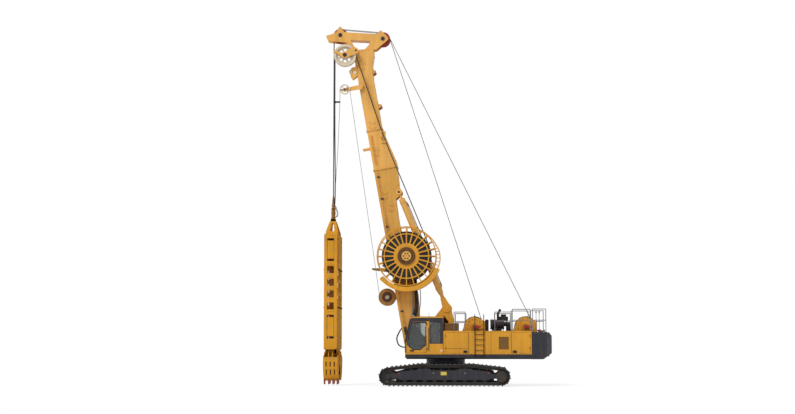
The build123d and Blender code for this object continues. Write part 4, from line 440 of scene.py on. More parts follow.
NODE_FINISHES = [           # finish, CAD nodes
    ("slate", ["carbody", "slew_ring", "slewing_frame", "counterweight"]),
    ("slate", ["track_frame_left", "track_frame_right"]),
    ("track", ["track_left", "track_right", "running_gear_left", "running_gear_right"]),
    ("body", ["boom_brackets", "cab_shell", "cab_door", "house_left", "house_right", *HOUSE_DOORS]),
    ("body", ["side_tank", "winch_frames", "hose_reel", "reel_guard"]),
    # Lower boom in the darker copy of the boom paint: painted shade and a deeper tone.
    ("foot", ["boom_lower"]),
    ("boom", ["boom_middle", "boom_upper", "boom_head", "luff_barrels", "boom_fittings"]),
    ("rust_and_shade", ["cable_reel"]),
    # Cooler core in brown: painted shade between its ribs.
    ("brown", ["oil_cooler"]),
    ("black", ["engine", "ladder", "winch_drum_front", "winch_drum_rear"]),
    ("rail", ["handrails_left", "handrails_right"]),
    # Swivel in rusty yellow, and the linkage inside the grab darkened with it as painted shade.
    ("rust_and_shade", ["grab_suspension", "jaw_cylinder", "crosshead", "link_near", "link_far"]),
    ("seat", ["cab_interior"]),
    ("glass", ["cab_glass", "cab_door_glass"]),
    ("lens", ["work_lamps"]),
    ("red", ["sheaves_front", "sheaves_rear"]),
    ("cream", ["hose_sheave", "guide_wheel"]),
    ("rope", ["hoist_ropes"]),
    ("chrome", ["luff_rods"]),
    ("hose", ["hose_coil"]),
    ("grab", ["grab_frame", "grab_head", "steering_plates", "jaw_near", "jaw_far"]),
    ("tooth", ["teeth_near", "teeth_far"]),
]

ROUNDED_NODES = [
    "house_left", "house_right", "cab_shell", "cab_door", "counterweight", "slewing_frame", "side_tank",
    *HOUSE_DOORS, "boom_lower", "boom_middle", "boom_upper", "boom_head", "boom_brackets", "winch_frames",
    "grab_frame", "grab_head", "jaw_near", "jaw_far", "track_frame_left", "track_frame_right", "carbody",
]


# Mesh making
class Maker:
    """Collects closed shapes of one finish into one mesh."""

    def __init__(self):
        self.mesh = bmesh.new()

    def box(self, low, high):
        """Box between two corners."""
        low, high = Vector(low), Vector(high)
        size = [high[axis] - low[axis] for axis in range(3)]
        place = Matrix.Translation((low + high) / 2) @ Matrix.Diagonal((*size, 1))
        bmesh.ops.create_cube(self.mesh, size=1, matrix=place)

    def rod(self, start, end, radius, sides=16, end_radius=None):
        """Round bar or cone between two points."""
        start, end = Vector(start), Vector(end)
        line = end - start
        turn = Vector((0, 0, 1)).rotation_difference(line).to_matrix().to_4x4()
        place = Matrix.Translation((start + end) / 2) @ turn
        bmesh.ops.create_cone(self.mesh, cap_ends=True, segments=sides, radius1=radius,
                              radius2=radius if end_radius is None else end_radius,
                              depth=line.length, matrix=place)

    def post(self, x, y, z_low, z_high, radius, sides=16, end_radius=None):
        """Upright bar or cone, measured from the slewing axis."""
        self.rod(at(x, y, z_low), at(x, y, z_high), radius, sides, end_radius)

    def cross(self, x, z, y_low, y_high, radius, sides=16):
        """Bar along Y, measured from the slewing axis."""
        self.rod(at(x, y_low, z), at(x, y_high, z), radius, sides)

    def skin(self, here, there):
        """Faces between two closed rows of corners."""
        for index in range(len(here)):
            after = (index + 1) % len(here)
            self.mesh.faces.new((here[index], here[after], there[after], there[index]))

    def prism(self, front, back):
        """Closed shape between two flat outlines."""
        front = [self.mesh.verts.new(point) for point in front]
        back = [self.mesh.verts.new(point) for point in back]
        self.mesh.faces.new(front)
        self.mesh.faces.new(list(reversed(back)))
        self.skin(back, front)

    def slab(self, outline, y_low, y_high):
        """Plate with an outline of X and Z in the frame, between two values of Y."""
        self.prism([(x, y_low, z) for x, z in outline], [(x, y_high, z) for x, z in outline])

    def panel(self, outline, x_low, x_high):
        """Plate with an outline of Y and Z, between two values of X in the frame."""
        self.prism([(x_low, y, z) for y, z in outline], [(x_high, y, z) for y, z in outline])

    def band(self, inner, outer, y_low, y_high):
        """Flat frame between two outlines with the same count of corners."""
        rings = [[self.mesh.verts.new((x, y, z)) for x, z in outline]
                 for outline, y in ((inner, y_low), (outer, y_low), (outer, y_high), (inner, y_high))]
        for here, there in zip(rings, rings[1:] + rings[:1]):
            self.skin(here, there)

    def profile_ring(self, centre, axis, profile, sides):
        """Closed profile of radius and height turned about an axis."""
        axis = Vector(axis).normalized()
        side = axis.orthogonal().normalized()
        if abs(axis.y) > 0.9:
            side = Vector((1, 0, 0))
        third = axis.cross(side)
        rings = []
        for turn in circle(sides):
            out = side * turn.x + third * turn.z
            rings.append([self.mesh.verts.new(Vector(centre) + out * r + axis * h) for r, h in profile])
        for here, there in zip(rings, rings[1:] + rings[:1]):
            self.skin(here, there)

    def ring(self, centre, axis, inner, outer, low, high, sides=48):
        """Flat ring with a rectangular section."""
        self.profile_ring(centre, axis, [(inner, low), (outer, low), (outer, high), (inner, high)], sides)

    def bolt(self, place, axis, radius):
        """Hexagon head on a washer, standing on a face."""
        place, axis = Vector(place), Vector(axis).normalized()
        self.rod(place - axis * radius * 0.2, place + axis * radius * 0.25, radius * 1.35, 16)
        self.rod(place + axis * radius * 0.2, place + axis * radius * 0.95, radius, 6)

    def bolt_circle(self, centre, axis, reach, count, radius, shift=0.0):
        """Bolts evenly round a centre, on a face across X or Y."""
        for out in circle(count, shift):
            if axis[0]:
                out = Vector((0, out.x, out.z))
            self.bolt(Vector(centre) + out * reach, axis, radius)

    def sweep(self, points, radius, sides=10):
        """Tube through points, closed at both ends."""
        rows = []
        for point, first, second in frames_along(points):
            rows.append([self.mesh.verts.new(point + (first * turn.x + second * turn.z) * radius)
                         for turn in circle(sides)])
        for here, there in zip(rows, rows[1:]):
            self.skin(here, there)
        self.mesh.faces.new(list(reversed(rows[0])))
        self.mesh.faces.new(rows[-1])

    def hose(self, points, radius, sides=8):
        """Smooth tube through points."""
        self.sweep(smooth_line(points), radius, sides)

    def piece(self, name, finish, body=None, slot=None, bevel=0.0, smooth=35):
        """Finished mesh object, riding on a body."""
        bmesh.ops.recalc_face_normals(self.mesh, faces=self.mesh.faces)
        data = bpy.data.meshes.new(name)
        self.mesh.to_mesh(data)
        self.mesh.free()
        data.materials.append(FINISHES[finish])
        made = bpy.data.objects.new(name, data)
        bpy.context.scene.collection.objects.link(made)
        data.shade_smooth()
        data.set_sharp_from_angle(angle=math.radians(smooth))
        if bevel:
            round_edges(made, bevel)
        if body:
            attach(made, body)
        return made


def round_edges(made, width):
    """Bevel on the sharp edges of a piece."""
    bevel = made.modifiers.new("edges", "BEVEL")
    bevel.width = width
    bevel.segments = 2
    bevel.limit_method = "ANGLE"
    bevel.angle_limit = math.radians(40)
    bevel.harden_normals = True


def round_node(node, width):
    """Joined, flat-cleaned and bevelled copy of a CAD node's plates, by modifiers alone."""
    weld = node.modifiers.new("weld", "WELD")
    weld.merge_threshold = 0.0001
    flat = node.modifiers.new("flat", "DECIMATE")
    flat.decimate_type = "DISSOLVE"
    flat.angle_limit = math.radians(1)
    round_edges(node, width)


def frames_along(points):
    """Each point of a line with two directions across it that turn no more than they must."""
    points = [Vector(point) for point in points]
    made = []
    first = None
    for index, point in enumerate(points):
        ahead = points[min(index + 1, len(points) - 1)]
        behind = points[max(index - 1, 0)]
        along = (ahead - behind).normalized()
        if first is None:
            first = along.orthogonal().normalized()
        first = (first - along * first.dot(along)).normalized()
        made.append((point, first, along.cross(first)))
    return made


def smooth_line(points, steps=8):
    """Smooth line through points."""
    points = [Vector(point) for point in points]
    padded = [points[0] * 2 - points[1], *points, points[-1] * 2 - points[-2]]
    made = []
    for before, start, end, after in zip(padded, padded[1:], padded[2:], padded[3:]):
        for step in range(steps):
            t = step / steps
            curve = 2 * before - 5 * start + 4 * end - after
            twist = 3 * start - before - 3 * end + after
            made.append(0.5 * (2 * start + (end - before) * t + curve * t ** 2 + twist * t ** 3))
    return [*made, points[-1]]


def even_line(points, pitch):
    """Points an even pitch apart along a line."""
    points = [Vector(point) for point in points]
    spans = [(end - start).length for start, end in zip(points, points[1:])]
    count = max(2, round(sum(spans) / pitch))
    made = []
    index, passed = 0, 0.0
    for step in range(count + 1):
        distance = sum(spans) * step / count
        while index < len(spans) - 1 and passed + spans[index] < distance:
            passed += spans[index]
            index += 1
        share = (distance - passed) / spans[index] if spans[index] else 0
        made.append(points[index].lerp(points[index + 1], min(1.0, share)))
    return made


def arc_point(centre, radius, y, angle):
    """Point round a Y axis; the angle is in degrees from +X towards +Z."""
    turn = math.radians(angle)
    return Vector((centre.x + radius * math.cos(turn), y, centre.z + radius * math.sin(turn)))


def arc_points(centre, radius, y, start, end, steps):
    """Points of an arc round a Y axis."""
    return [arc_point(centre, radius, y, start + (end - start) * step / steps) for step in range(steps + 1)]


def wound_section(radius, y, half):
    """Six-sided section of a rope or hose, wound at a radius."""
    return [(radius + half * turn.x, y + half * turn.z) for turn in circle(6)]


def wire_rope(maker, points, radius, lay, strands):
    """Strands laid round a line."""
    line = even_line(points, lay / 8)
    turn_per_step = 2 * math.pi * (line[1] - line[0]).length / lay
    frames = frames_along(line)
    for strand in range(strands):
        centre = []
        for index, (point, first, second) in enumerate(frames):
            turn = index * turn_per_step + 2 * math.pi * strand / strands
            centre.append(point + (first * math.cos(turn) + second * math.sin(turn)) * radius * 0.62)
        maker.sweep(centre, radius * 0.38, sides=5)
    maker.sweep(even_line(points, lay), radius * 0.4, sides=5)


# Pieces
class GRAB_OT_finish_frame(bpy.types.Operator):
    """Give every CAD node its finish and rounded edges"""

    bl_idname = "grab.finish_frame"
    bl_label = "Finish frame"

    def execute(self, context):
        for finish, names in NODE_FINISHES:
            for name in names:
                node = frame["nodes"][name]
                node.data.materials.clear()
                node.data.materials.append(FINISHES[finish])
        for name in ROUNDED_NODES:
            round_node(frame["nodes"][name], context.scene.grab_wear.bevel)
        return {"FINISHED"}


class GRAB_OT_hoist_ropes(bpy.types.Operator):
    """Lay the hoist ropes from the grab over the head to the winches"""

    bl_idname = "grab.hoist_ropes"
    bl_label = "Hoist ropes"

    def execute(self, context):
        rigging = context.scene.grab_rigging
        rope = (rigging.rope_radius, rigging.rope_lay, rigging.strands)
        low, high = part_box("hoist_ropes")
        hanging = Maker()
        head = Maker()
        for _, y, leave in ROPES:
            wire_rope(hanging, [(GRAB.x, y, high.z), (GRAB.x, y, low.z)], *rope)
            front = arc_points(FRONT_SHEAVES, ROPE_CIRCLE, y, 180, 84, 10)
            rear = arc_points(REAR_SHEAVES, ROPE_CIRCLE, y, 84, leave, 8)
            wire_rope(head, front + rear, *rope)
        made = hanging.piece("hoist_rope_falls", "rope", slot="steel")
        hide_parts("hoist_ropes")
        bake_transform(made)
        head.piece("head_ropes", "rope", "boom", "steel")
        for name, y, leave in ROPES:
            winch = WINCHES[name]
            top = arc_point(REAR_SHEAVES, ROPE_CIRCLE, y, leave)
            line = Vector((top.x - winch.x, 0, top.z - winch.z))
            across = Vector((line.z, 0, -line.x)).normalized()
            bottom = Vector((winch.x, y, winch.z)) + across * (DRUM_RADIUS + 0.03)
            maker = Maker()
            wire_rope(maker, [bottom, top], *rope)
            made = maker.piece(f"winch_rope_{name}", "rope", slot="steel")
            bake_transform(made)
        return {"FINISHED"}


def hose_run(y):
    """Lines of one hose: along the boom, down to the split, and on to the grab."""
    lane = Vector((0, y - sum(HOSE_Y) / 2, 0))
    wheel = arc_points(HOSE_SHEAVE, HOSE_WHEEL_RADIUS, y, 18.9, 180, 18)
    over = smooth_line([at(-0.741, -0.94, 6.709) + lane, at(-1.85, -0.78, 9.4) + lane,
                        at(-3.0, -0.56, 12.2) + lane * 0.6, at(-3.72, -0.60, 14.3) + lane, wheel[0]])
    edge = wheel[-1]
    split = Vector((edge.x, y, HOSE_SPLIT))
    end = at(-5.47, -0.15, 8.86) + lane * 0.5
    fall = smooth_line([split, Vector((edge.x, y * 0.8, 12.0)), Vector((edge.x, y * 0.42, 10.2)),
                        at(-5.45, -0.19, 9.3) + lane * 0.6, end])
    return over[:-1] + wheel, [edge, split], fall


def cable_run():
    """Lines of the control cable in the same three parts."""
    y = GUIDE_WHEEL.y
    wheel = arc_points(GUIDE_WHEEL, 0.24, y, 8, 180, 14)
    start = arc_points(CABLE_REEL, 0.37, CABLE_REEL.y, 120, 188, 6)
    split = Vector((wheel[-1].x, y, HOSE_SPLIT))
    fall = smooth_line([split, at(-5.30, -0.45, 11.5), at(-5.46, -0.20, 9.4), at(-5.50, -0.12, 8.9)])
    return start + wheel, [wheel[-1], split], fall


def add_hose_clamps():
    """Black clamp where the hoses hang together, and the guide on the boom."""
    clamp = Maker()
    clamp.box(at(-5.49, -0.76, HOSE_SPLIT - 0.05), at(-5.39, -0.54, HOSE_SPLIT + 0.05))
    clamp.box(at(-5.38, -0.67, HOSE_SPLIT - 0.04), at(-5.16, -0.62, HOSE_SPLIT + 0.04))
    for y in HOSE_Y:
        clamp.bolt(at(-5.49, y, HOSE_SPLIT), (-1, 0, 0), 0.014)
    clamp.piece("hose_clamp", "black", "ropes", "black", bevel=0.006)
    guide = Maker()
    for x, z in ((-2.90, 11.95), (-3.11, 12.45)):
        guide.cross(x, z, -0.66, -0.40, 0.03)
    guide.box(at(-3.16, -0.45, 11.9), at(-2.92, -0.40, 12.5))
    guide.box(at(-3.16, -0.67, 12.15), at(-3.10, -0.40, 12.25))
    guide.piece("hose_guide", "boom", "boom", "boom_yellow", bevel=0.006)


class GRAB_OT_hoses(bpy.types.Operator):
    """Run the grab's hoses and the control cable from their reels over the wheels to the grab"""

    bl_idname = "grab.hoses"
    bl_label = "Hoses"

    def execute(self, context):
        rigging = context.scene.grab_rigging
        runs = [hose_run(y) + (rigging.hose_radius,) for y in HOSE_Y]
        cable = cable_run() + (rigging.cable_radius,)
        boom, upper, thin, lower = Maker(), Maker(), Maker(), Maker()
        for middle, (along, hanging, fall, radius) in ((upper, runs[0]), (upper, runs[1]), (thin, cable)):
            for maker, line in ((boom, along), (middle, hanging), (lower, fall)):
                maker.sweep(even_line(line, 0.12), radius, sides=10)
        boom.piece("boom_hoses", "hose", "boom", "hose")
        falls = ((upper, "upper_hose_falls", HOSE_SHEAVE), (thin, "upper_cable_fall", GUIDE_WHEEL))
        for maker, name, wheel in falls:
            made = maker.piece(name, "hose", slot="hose")
            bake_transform(made)
        lower = lower.piece("lower_hose_falls", "hose", slot="hose")
        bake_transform(lower)
        add_hose_clamps()
        return {"FINISHED"}


def dress_reel_wheel(axis):
    """Bolts on the rim, faces of the spokes and the gear ring in the brown of painted shade."""
    bolts = Maker()
    bolts.bolt_circle(axis + sideways(REEL_FACE), (0, -1, 0), 1.08, 24, 0.016, shift=0.5)
    bolts.piece("reel_bolts", "body", "hose_reel", "body_yellow")
    faces = Maker()
    for out in circle(24):
        across = Vector((-out.z, 0, out.x))
        for inner, outer, half in ((0.62, 1.06, 0.034), (1.10, 1.42, 0.024)):
            corners = [axis + out * inner - across * half, axis + out * inner + across * half,
                       axis + out * outer + across * half, axis + out * outer - across * half]
            faces.slab(flat(corners), REEL_FACE - 0.004, REEL_FACE + 0.028)
    faces.piece("spoke_faces", "body", "hose_reel", "body_yellow", bevel=0.004)
    gear, ribs = Maker(), Maker()
    gear.ring(axis, (0, 1, 0), 0.245, 0.432, GEAR_FACE, -1.300, 64)
    face = axis + sideways(GEAR_FACE)
    for out in circle(32):
        ribs.rod(face + out * 0.29, face + out * 0.40, 0.009, 6)
    ribs.ring(axis, (0, 1, 0), 0.418, 0.436, -1.320, -1.300, 64)
    # Gear ring in the brown of painted shade, with ochre ribs on it.
    gear.piece("reel_gear", "brown", "hose_reel", "body_yellow")
    ribs.piece("reel_gear_ribs", "ochre", "hose_reel", "body_yellow")


def dress_reel_hub(axis):
    """Bolts on the still hub cap."""
    hub = Maker()
    hub.bolt_circle(axis + sideways(HUB_FACE), (0, -1, 0), 0.135, 6, 0.028)
    hub.piece("reel_hub_bolts", "black", "boom", "black")


def add_reel_hoop(axis):
    """Ladder-like hoop that carries on from the guard, with its rungs."""
    hoop = Maker()
    bends = ((54, 1.45), (36, 1.48), (20, 1.54), (6, 1.61), (-10, 1.64), (-26, 1.63))
    line = smooth_line([arc_point(axis, radius, HOOP_Y, angle) for angle, radius in bends], 10)
    hoop.sweep(line, 0.028, 8)
    middle = axis + sideways(HOOP_Y)
    for spot in line[16::4]:
        out = (spot - middle).normalized()
        hoop.rod(middle + out * 1.44, spot, 0.02, 8)
    hoop.piece("reel_hoop", "boom", "boom", "boom_yellow")


class GRAB_OT_hose_reel(bpy.types.Operator):
    """Wind the hose reel and dress its wheel and hub, with the hoop beyond its guard"""

    bl_idname = "grab.hose_reel"
    bl_label = "Hose reel"

    def execute(self, context):
        hose = context.scene.grab_rigging.hose_radius
        axis = Vector((REEL.x, 0, REEL.z))
        wound = Maker()
        places = [(0.655 + 2 * hose * turn, y) for turn in range(12) for y in (-1.23 + hose, -0.65 - hose)]
        places += [(0.655 + 22 * hose, -1.23 + hose * (2 * lane + 1)) for lane in range(1, 11)]
        for radius, y in places:
            wound.profile_ring(axis, (0, 1, 0), wound_section(radius, y, hose), 72)
        wound.ring(axis, (0, 1, 0), 0.632, 1.16, -1.19, -0.69, 72)
        made = wound.piece("wound_hose", "hose", "hose_reel", "hose", smooth=80)
        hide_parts("hose_coil")
        dress_reel_wheel(axis)
        dress_reel_hub(axis)
        add_reel_hoop(axis)
        return {"FINISHED"}


def add_cable_reel():
    """Ringed well in the brown of painted shade, hub and bolts on the cable reel's near face, and the cable's
    guide arm.
    """
    axis = Vector((CABLE_REEL.x, 0, CABLE_REEL.z))
    well = Maker()
    well.ring(axis, (0, 1, 0), 0.10, 0.25, -0.336, -0.328, 48)
    for radius in (0.13, 0.17, 0.21):
        well.ring(axis, (0, 1, 0), radius, radius + 0.02, -0.344, -0.33, 48)
    well.piece("cable_well", "brown", "cable_reel", "black")
    hub = Maker()
    hub.ring(axis, (0, 1, 0), 0.055, 0.105, -0.35, -0.328, 32)
    hub.bolt_circle(axis + sideways(-0.33), (0, -1, 0), 0.34, 6, 0.016)
    hub.piece("cable_hub", "steel", "cable_reel", "steel")
    guide = Maker()
    arm = [(-2.36, 5.46), (-2.36, 5.72), (-3.56, 5.72), (-3.60, 5.68), (-3.56, 5.62)]
    guide.slab(at_places(arm), -0.33, -0.27)
    guide.cross(-3.55, 5.68, -0.36, -0.24, 0.05, 16)
    guide.piece("cable_guide", "ochre", "boom", "boom_yellow", bevel=0.006)


def add_boom_steps():
    """Bar steps on the near side."""
    steps = Maker()
    for x, z in ((-4.13, 15.7), (-3.60, 12.7), (-3.40, 11.36), (-2.98, 9.2), (-2.66, 8.6), (-2.30, 4.6)):
        wall = -0.40 if z > 10.6 else -0.45
        for rise in (0, 0.26):
            ends = [at(x - 0.13, wall, z + rise), at(x - 0.13, wall - 0.09, z + rise),
                    at(x + 0.13, wall - 0.09, z + rise), at(x + 0.13, wall, z + rise)]
            for start, end in zip(ends, ends[1:]):
                steps.rod(start, end, 0.012, 8)
    steps.piece("boom_steps", "boom", "boom", "boom_yellow")


def add_boom_bolts():
    """Bolts under the collars where the boom's lengths join, and on the pin caps."""
    bolts = Maker()
    down = on_boom(0, 0, 0) - on_boom(1, 0, 0)
    for along, wall, front, rear in ((8.56, 0.45, -0.42, 0.74), (10.56, 0.40, -0.42, 0.375)):
        for number in range(9):
            across = front + (rear - front) * number / 8
            for side in (-1, 1):
                bolts.bolt(on_boom(along, across, side * (wall + 0.017)), down, 0.013)
    for side in (-1, 1):
        foot = Vector((FOOT_PIN.x, side * 0.62, FOOT_PIN.z))
        bolts.bolt_circle(foot, (0, side, 0), 0.10, 6, 0.016)
        bolts.ring(foot, (0, side, 0), 0.06, 0.14, -0.02, 0.002, 24)
    bolts.piece("boom_bolts", "slate", "boom", "dark_grey")


def add_rope_rollers():
    """Rope guide rollers behind the upper boom."""
    rollers, brackets = Maker(), Maker()
    for along in (11.75, 13.5):
        rollers.rod(on_boom(along, 0.44, -0.26), on_boom(along, 0.44, 0.26), 0.055, 24)
        for y in (-0.26, 0.26):
            rollers.rod(on_boom(along, 0.44, y - 0.02), on_boom(along, 0.44, y + 0.02), 0.085, 24)
        for side in (-1, 1):
            foot = [on_boom(along - 0.14, 0.33, 0), on_boom(along - 0.05, 0.49, 0),
                    on_boom(along + 0.05, 0.49, 0), on_boom(along + 0.14, 0.33, 0)]
            brackets.slab(flat(foot), side * 0.32, side * 0.295)
            brackets.bolt(on_boom(along, 0.44, side * 0.32), (0, side, 0), 0.02)
    rollers.piece("rope_rollers", "red", "boom", "red")
    brackets.piece("roller_brackets", "boom", "boom", "boom_yellow", bevel=0.004)


def add_boom_pipes(rigging):
    """Pipes up the near side with their clamps, and the foot's hoses, supply pipe and front loop."""
    pipes, clamps, hoses = Maker(), Maker(), Maker()
    for number, across in enumerate((-0.30, -0.25, -0.20)):
        pipes.sweep([on_boom(0.75, across, -0.475), on_boom(8.45, across, -0.475)], 0.014, 8)
        pipes.sweep([on_boom(8.85, across, -0.435), on_boom(10.35, across, -0.435)], 0.014, 8)
        lane = 0.06 * number
        hoses.hose([on_boom(0.75, across, -0.475), on_boom(0.45, across + 0.02, -0.50),
                    on_boom(0.20, across + 0.18, -0.52), on_boom(0.30, 0.26 - lane, -0.50),
                    on_boom(0.62, 0.36 - lane, -0.47)], 0.018)
    for along in (1.5, 2.9, 4.3, 5.7, 7.1, 8.2):
        clamps.box(on_boom(along, -0.33, -0.497), on_boom(along + 0.05, -0.17, -0.45))
    for along, rise in ((1.5, 0.0), (1.95, 0.1)):
        arch = [on_boom(along + 1.1, 0.66 - rise, -0.47), on_boom(along + 0.9, 0.80 - rise, -0.52),
                on_boom(along + 0.3, 0.72 - rise, -0.56), on_boom(along - 0.5, 0.45 - rise, -0.52),
                on_boom(along - 0.7, 0.30 - rise, -0.46)]
        hoses.hose(arch, rigging.hose_radius * 0.8)
    for number, x in enumerate((-1.46, -1.41, -1.36)):
        y = -0.50 + 0.03 * (number % 2)
        hoses.hose([at(x - 0.05, y, 5.25), at(x, y - 0.02, 4.5), at(x + 0.02 * number, y - 0.01, 3.9),
                    at(x - 0.08, y, 3.3), at(x - 0.16, y + 0.03, 2.9)], 0.026)
    supply = Maker()
    supply.hose([at(-1.52, -0.49, 5.2), at(-1.56, -0.50, 4.4), at(-1.60, -0.50, 3.6),
                 at(-1.66, -0.49, 3.1)], 0.036, 10)
    supply.piece("boom_supply_pipe", "rail", "boom", "steel")
    loop = Maker()
    start, end = at(-2.09, -0.36, 2.82), at(-1.88, -0.50, 1.86)
    for side in (-0.04, 0.04):
        route = [start, at(-2.22, -0.44, 2.64), at(-2.36, -0.50, 2.31), at(-2.29, -0.52, 2.0),
                 at(-2.10, -0.52, 1.87), end]
        loop.hose([spot + sideways(side) for spot in route], 0.030, 10)
    made = loop.piece("boom_front_hoses", "hose", slot="hose")
    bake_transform(made)
    pipes.piece("boom_pipes", "boom", "boom", "boom_yellow")
    clamps.piece("pipe_clamps", "slate", "boom", "dark_grey", bevel=0.004)
    hoses.piece("boom_foot_hoses", "hose", "boom", "hose")


def add_boom_head():
    """Pin caps of the sheaves and wheels, the roller guide under the hose wheel, and the shoulder."""
    caps = Maker()
    for centre, face, radius in ((FRONT_SHEAVES, -0.29, 0.10), (FRONT_SHEAVES, 0.29, 0.10),
                                 (REAR_SHEAVES, -0.29, 0.10), (REAR_SHEAVES, 0.29, 0.10),
                                 (HOSE_SHEAVE, -0.84, 0.10), (GUIDE_WHEEL, -0.70, 0.05)):
        side = 1 if face > 0 else -1
        spot = Vector((centre.x, face, centre.z))
        caps.rod(spot - sideways(side * 0.01), spot + sideways(side * 0.022), radius, 24)
        caps.bolt_circle(spot + sideways(side * 0.02), (0, side, 0), radius * 0.62, 4, radius * 0.15, 0.5)
    caps.piece("head_pin_caps", "slate", "boom", "dark_grey")
    guide, rollers = Maker(), Maker()
    outline = [(-4.34, 15.78), (-4.60, 15.72), (-4.76, 15.52), (-4.62, 15.18), (-4.55, 15.12),
               (-4.34, 15.30)]
    for y in (-0.44, -0.12):
        guide.slab(at_places(outline), y, y + 0.03)
    guide.cross(-4.62, 15.24, -0.44, -0.09, 0.03)
    for x, z, radius in ((-4.47, 15.47, 0.075), (-4.66, 15.50, 0.05)):
        rollers.cross(x, z, -0.46, -0.08, radius, 20)
    guide.piece("hose_fairlead", "boom", "boom", "boom_yellow", bevel=0.005)
    rollers.piece("fairlead_rollers", "white", "boom", "cream", bevel=0.004)
    shoulder = Maker()
    bends = ((13.2, 0.30), (13.2, 0.345), (13.9, 0.42), (14.35, 0.58), (14.6, 0.60), (14.6, 0.30))
    rear = [on_boom(along, across, 0) for along, across in bends]
    shoulder.slab(flat(rear), -0.39, 0.39)
    shoulder.piece("boom_shoulder", "boom", "boom", "boom_yellow", bevel=0.02)


def add_boom_arms():
    """Arms of the hose wheel, guide wheel and cable reel, and the hose reel's hub."""
    arms = Maker()
    near = [(-5.53, 16.57), (-5.49, 16.48), (-5.06, 16.16), (-4.92, 16.12), (-4.26, 16.38),
            (-4.30, 16.62), (-4.52, 16.70), (-4.98, 16.40), (-5.10, 16.40)]
    for y in (-0.84, -0.50):
        arms.slab(at_places(near), y, y + 0.04)
    arms.cross(-4.38, 16.50, -0.84, -0.24, 0.055, 20)
    arms.cross(-5.48, 16.51, -0.84, -0.46, 0.02, 12)
    arms.cross(-4.93, 16.28, -0.84, -0.46, 0.06, 20)
    guide = [(-5.26, 14.55), (-5.20, 14.54), (-4.94, 14.48), (-4.10, 14.60), (-4.00, 14.88),
             (-4.30, 14.80), (-4.94, 14.66), (-5.20, 14.58)]
    arms.slab(at_places(guide), -0.58, -0.545)
    arms.cross(-4.94, 14.58, -0.70, -0.545, 0.04, 20)
    for x, z in ((-4.16, 14.66), (-4.06, 14.80)):
        arms.cross(x, z, -0.57, -0.38, 0.04, 16)
    hub = Vector((REEL.x, 0, REEL.z))
    arms.ring(hub, (0, 1, 0), 0.02, 0.232, HUB_FACE, -1.30)
    arms.ring(hub, (0, 1, 0), 0.02, 0.19, -1.31, -0.45)
    arms.ring(hub, (0, 1, 0), 0.02, 0.32, -0.60, -0.44)
    cable = Vector((CABLE_REEL.x, 0, CABLE_REEL.z))
    arms.ring(cable, (0, 1, 0), 0.01, 0.05, -0.35, 0.03, 24)
    arms.slab(at_places([(-2.95, 4.24), (-2.95, 4.36), (-2.40, 4.50), (-2.40, 4.18)]), -0.02, 0.03)
    made = arms.piece("boom_arms", "boom", "boom", "boom_yellow", bevel=0.006)
    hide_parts("boom_fittings")


class GRAB_OT_boom_trim(bpy.types.Operator):
    """Add the steps, bolts, rollers, pipes, head, arms and cable reel of the boom"""

    bl_idname = "grab.boom_trim"
    bl_label = "Boom trim"

    def execute(self, context):
        add_boom_steps()
        add_boom_bolts()
        add_rope_rollers()
        add_boom_pipes(context.scene.grab_rigging)
        add_boom_head()
        add_boom_arms()
        add_cable_reel()
        return {"FINISHED"}


def add_clevis(maker, base, line, out):
    """Drop-shaped cheeks over the bracket, joined above it round the shaft."""
    turns = [math.radians(100 + 160 * step / 16) for step in range(17)]
    drop = [base + (line * math.cos(turn) + out * math.sin(turn)) * 0.215 for turn in turns]
    drop += [base + line * 0.56 - out * 0.11, base + line * 0.56 + out * 0.11]
    bridge = [base + line * along + out * across
              for along, across in ((0.33, 0.12), (0.33, -0.12), (0.55, -0.105), (0.55, 0.105))]
    for low, high in ((-0.158, -0.118), (0.118, 0.158)):
        maker.slab(flat(drop), base.y + low, base.y + high)
        face = low if low < 0 else high
        maker.rod(base + sideways(face), base + sideways(face * 1.12), 0.09, 28)
    maker.slab(flat(bridge), base.y - 0.125, base.y + 0.125)


def add_bracket_web():
    """Plate between the brackets' legs, in the brown of painted shade."""
    web = Maker()
    outline = [(-0.66, 2.40), (-0.45, 3.12), (-0.06, 3.44), (0.19, 3.14), (0.23, 2.40)]
    web.slab(at_places(outline), -0.02, 0.02)
    for z in (2.62, 2.90):
        web.box(at(-0.50, -0.05, z), at(0.14, 0.05, z + 0.04))
    web.piece("bracket_web", "brown", "upper", "body_yellow", bevel=0.004)


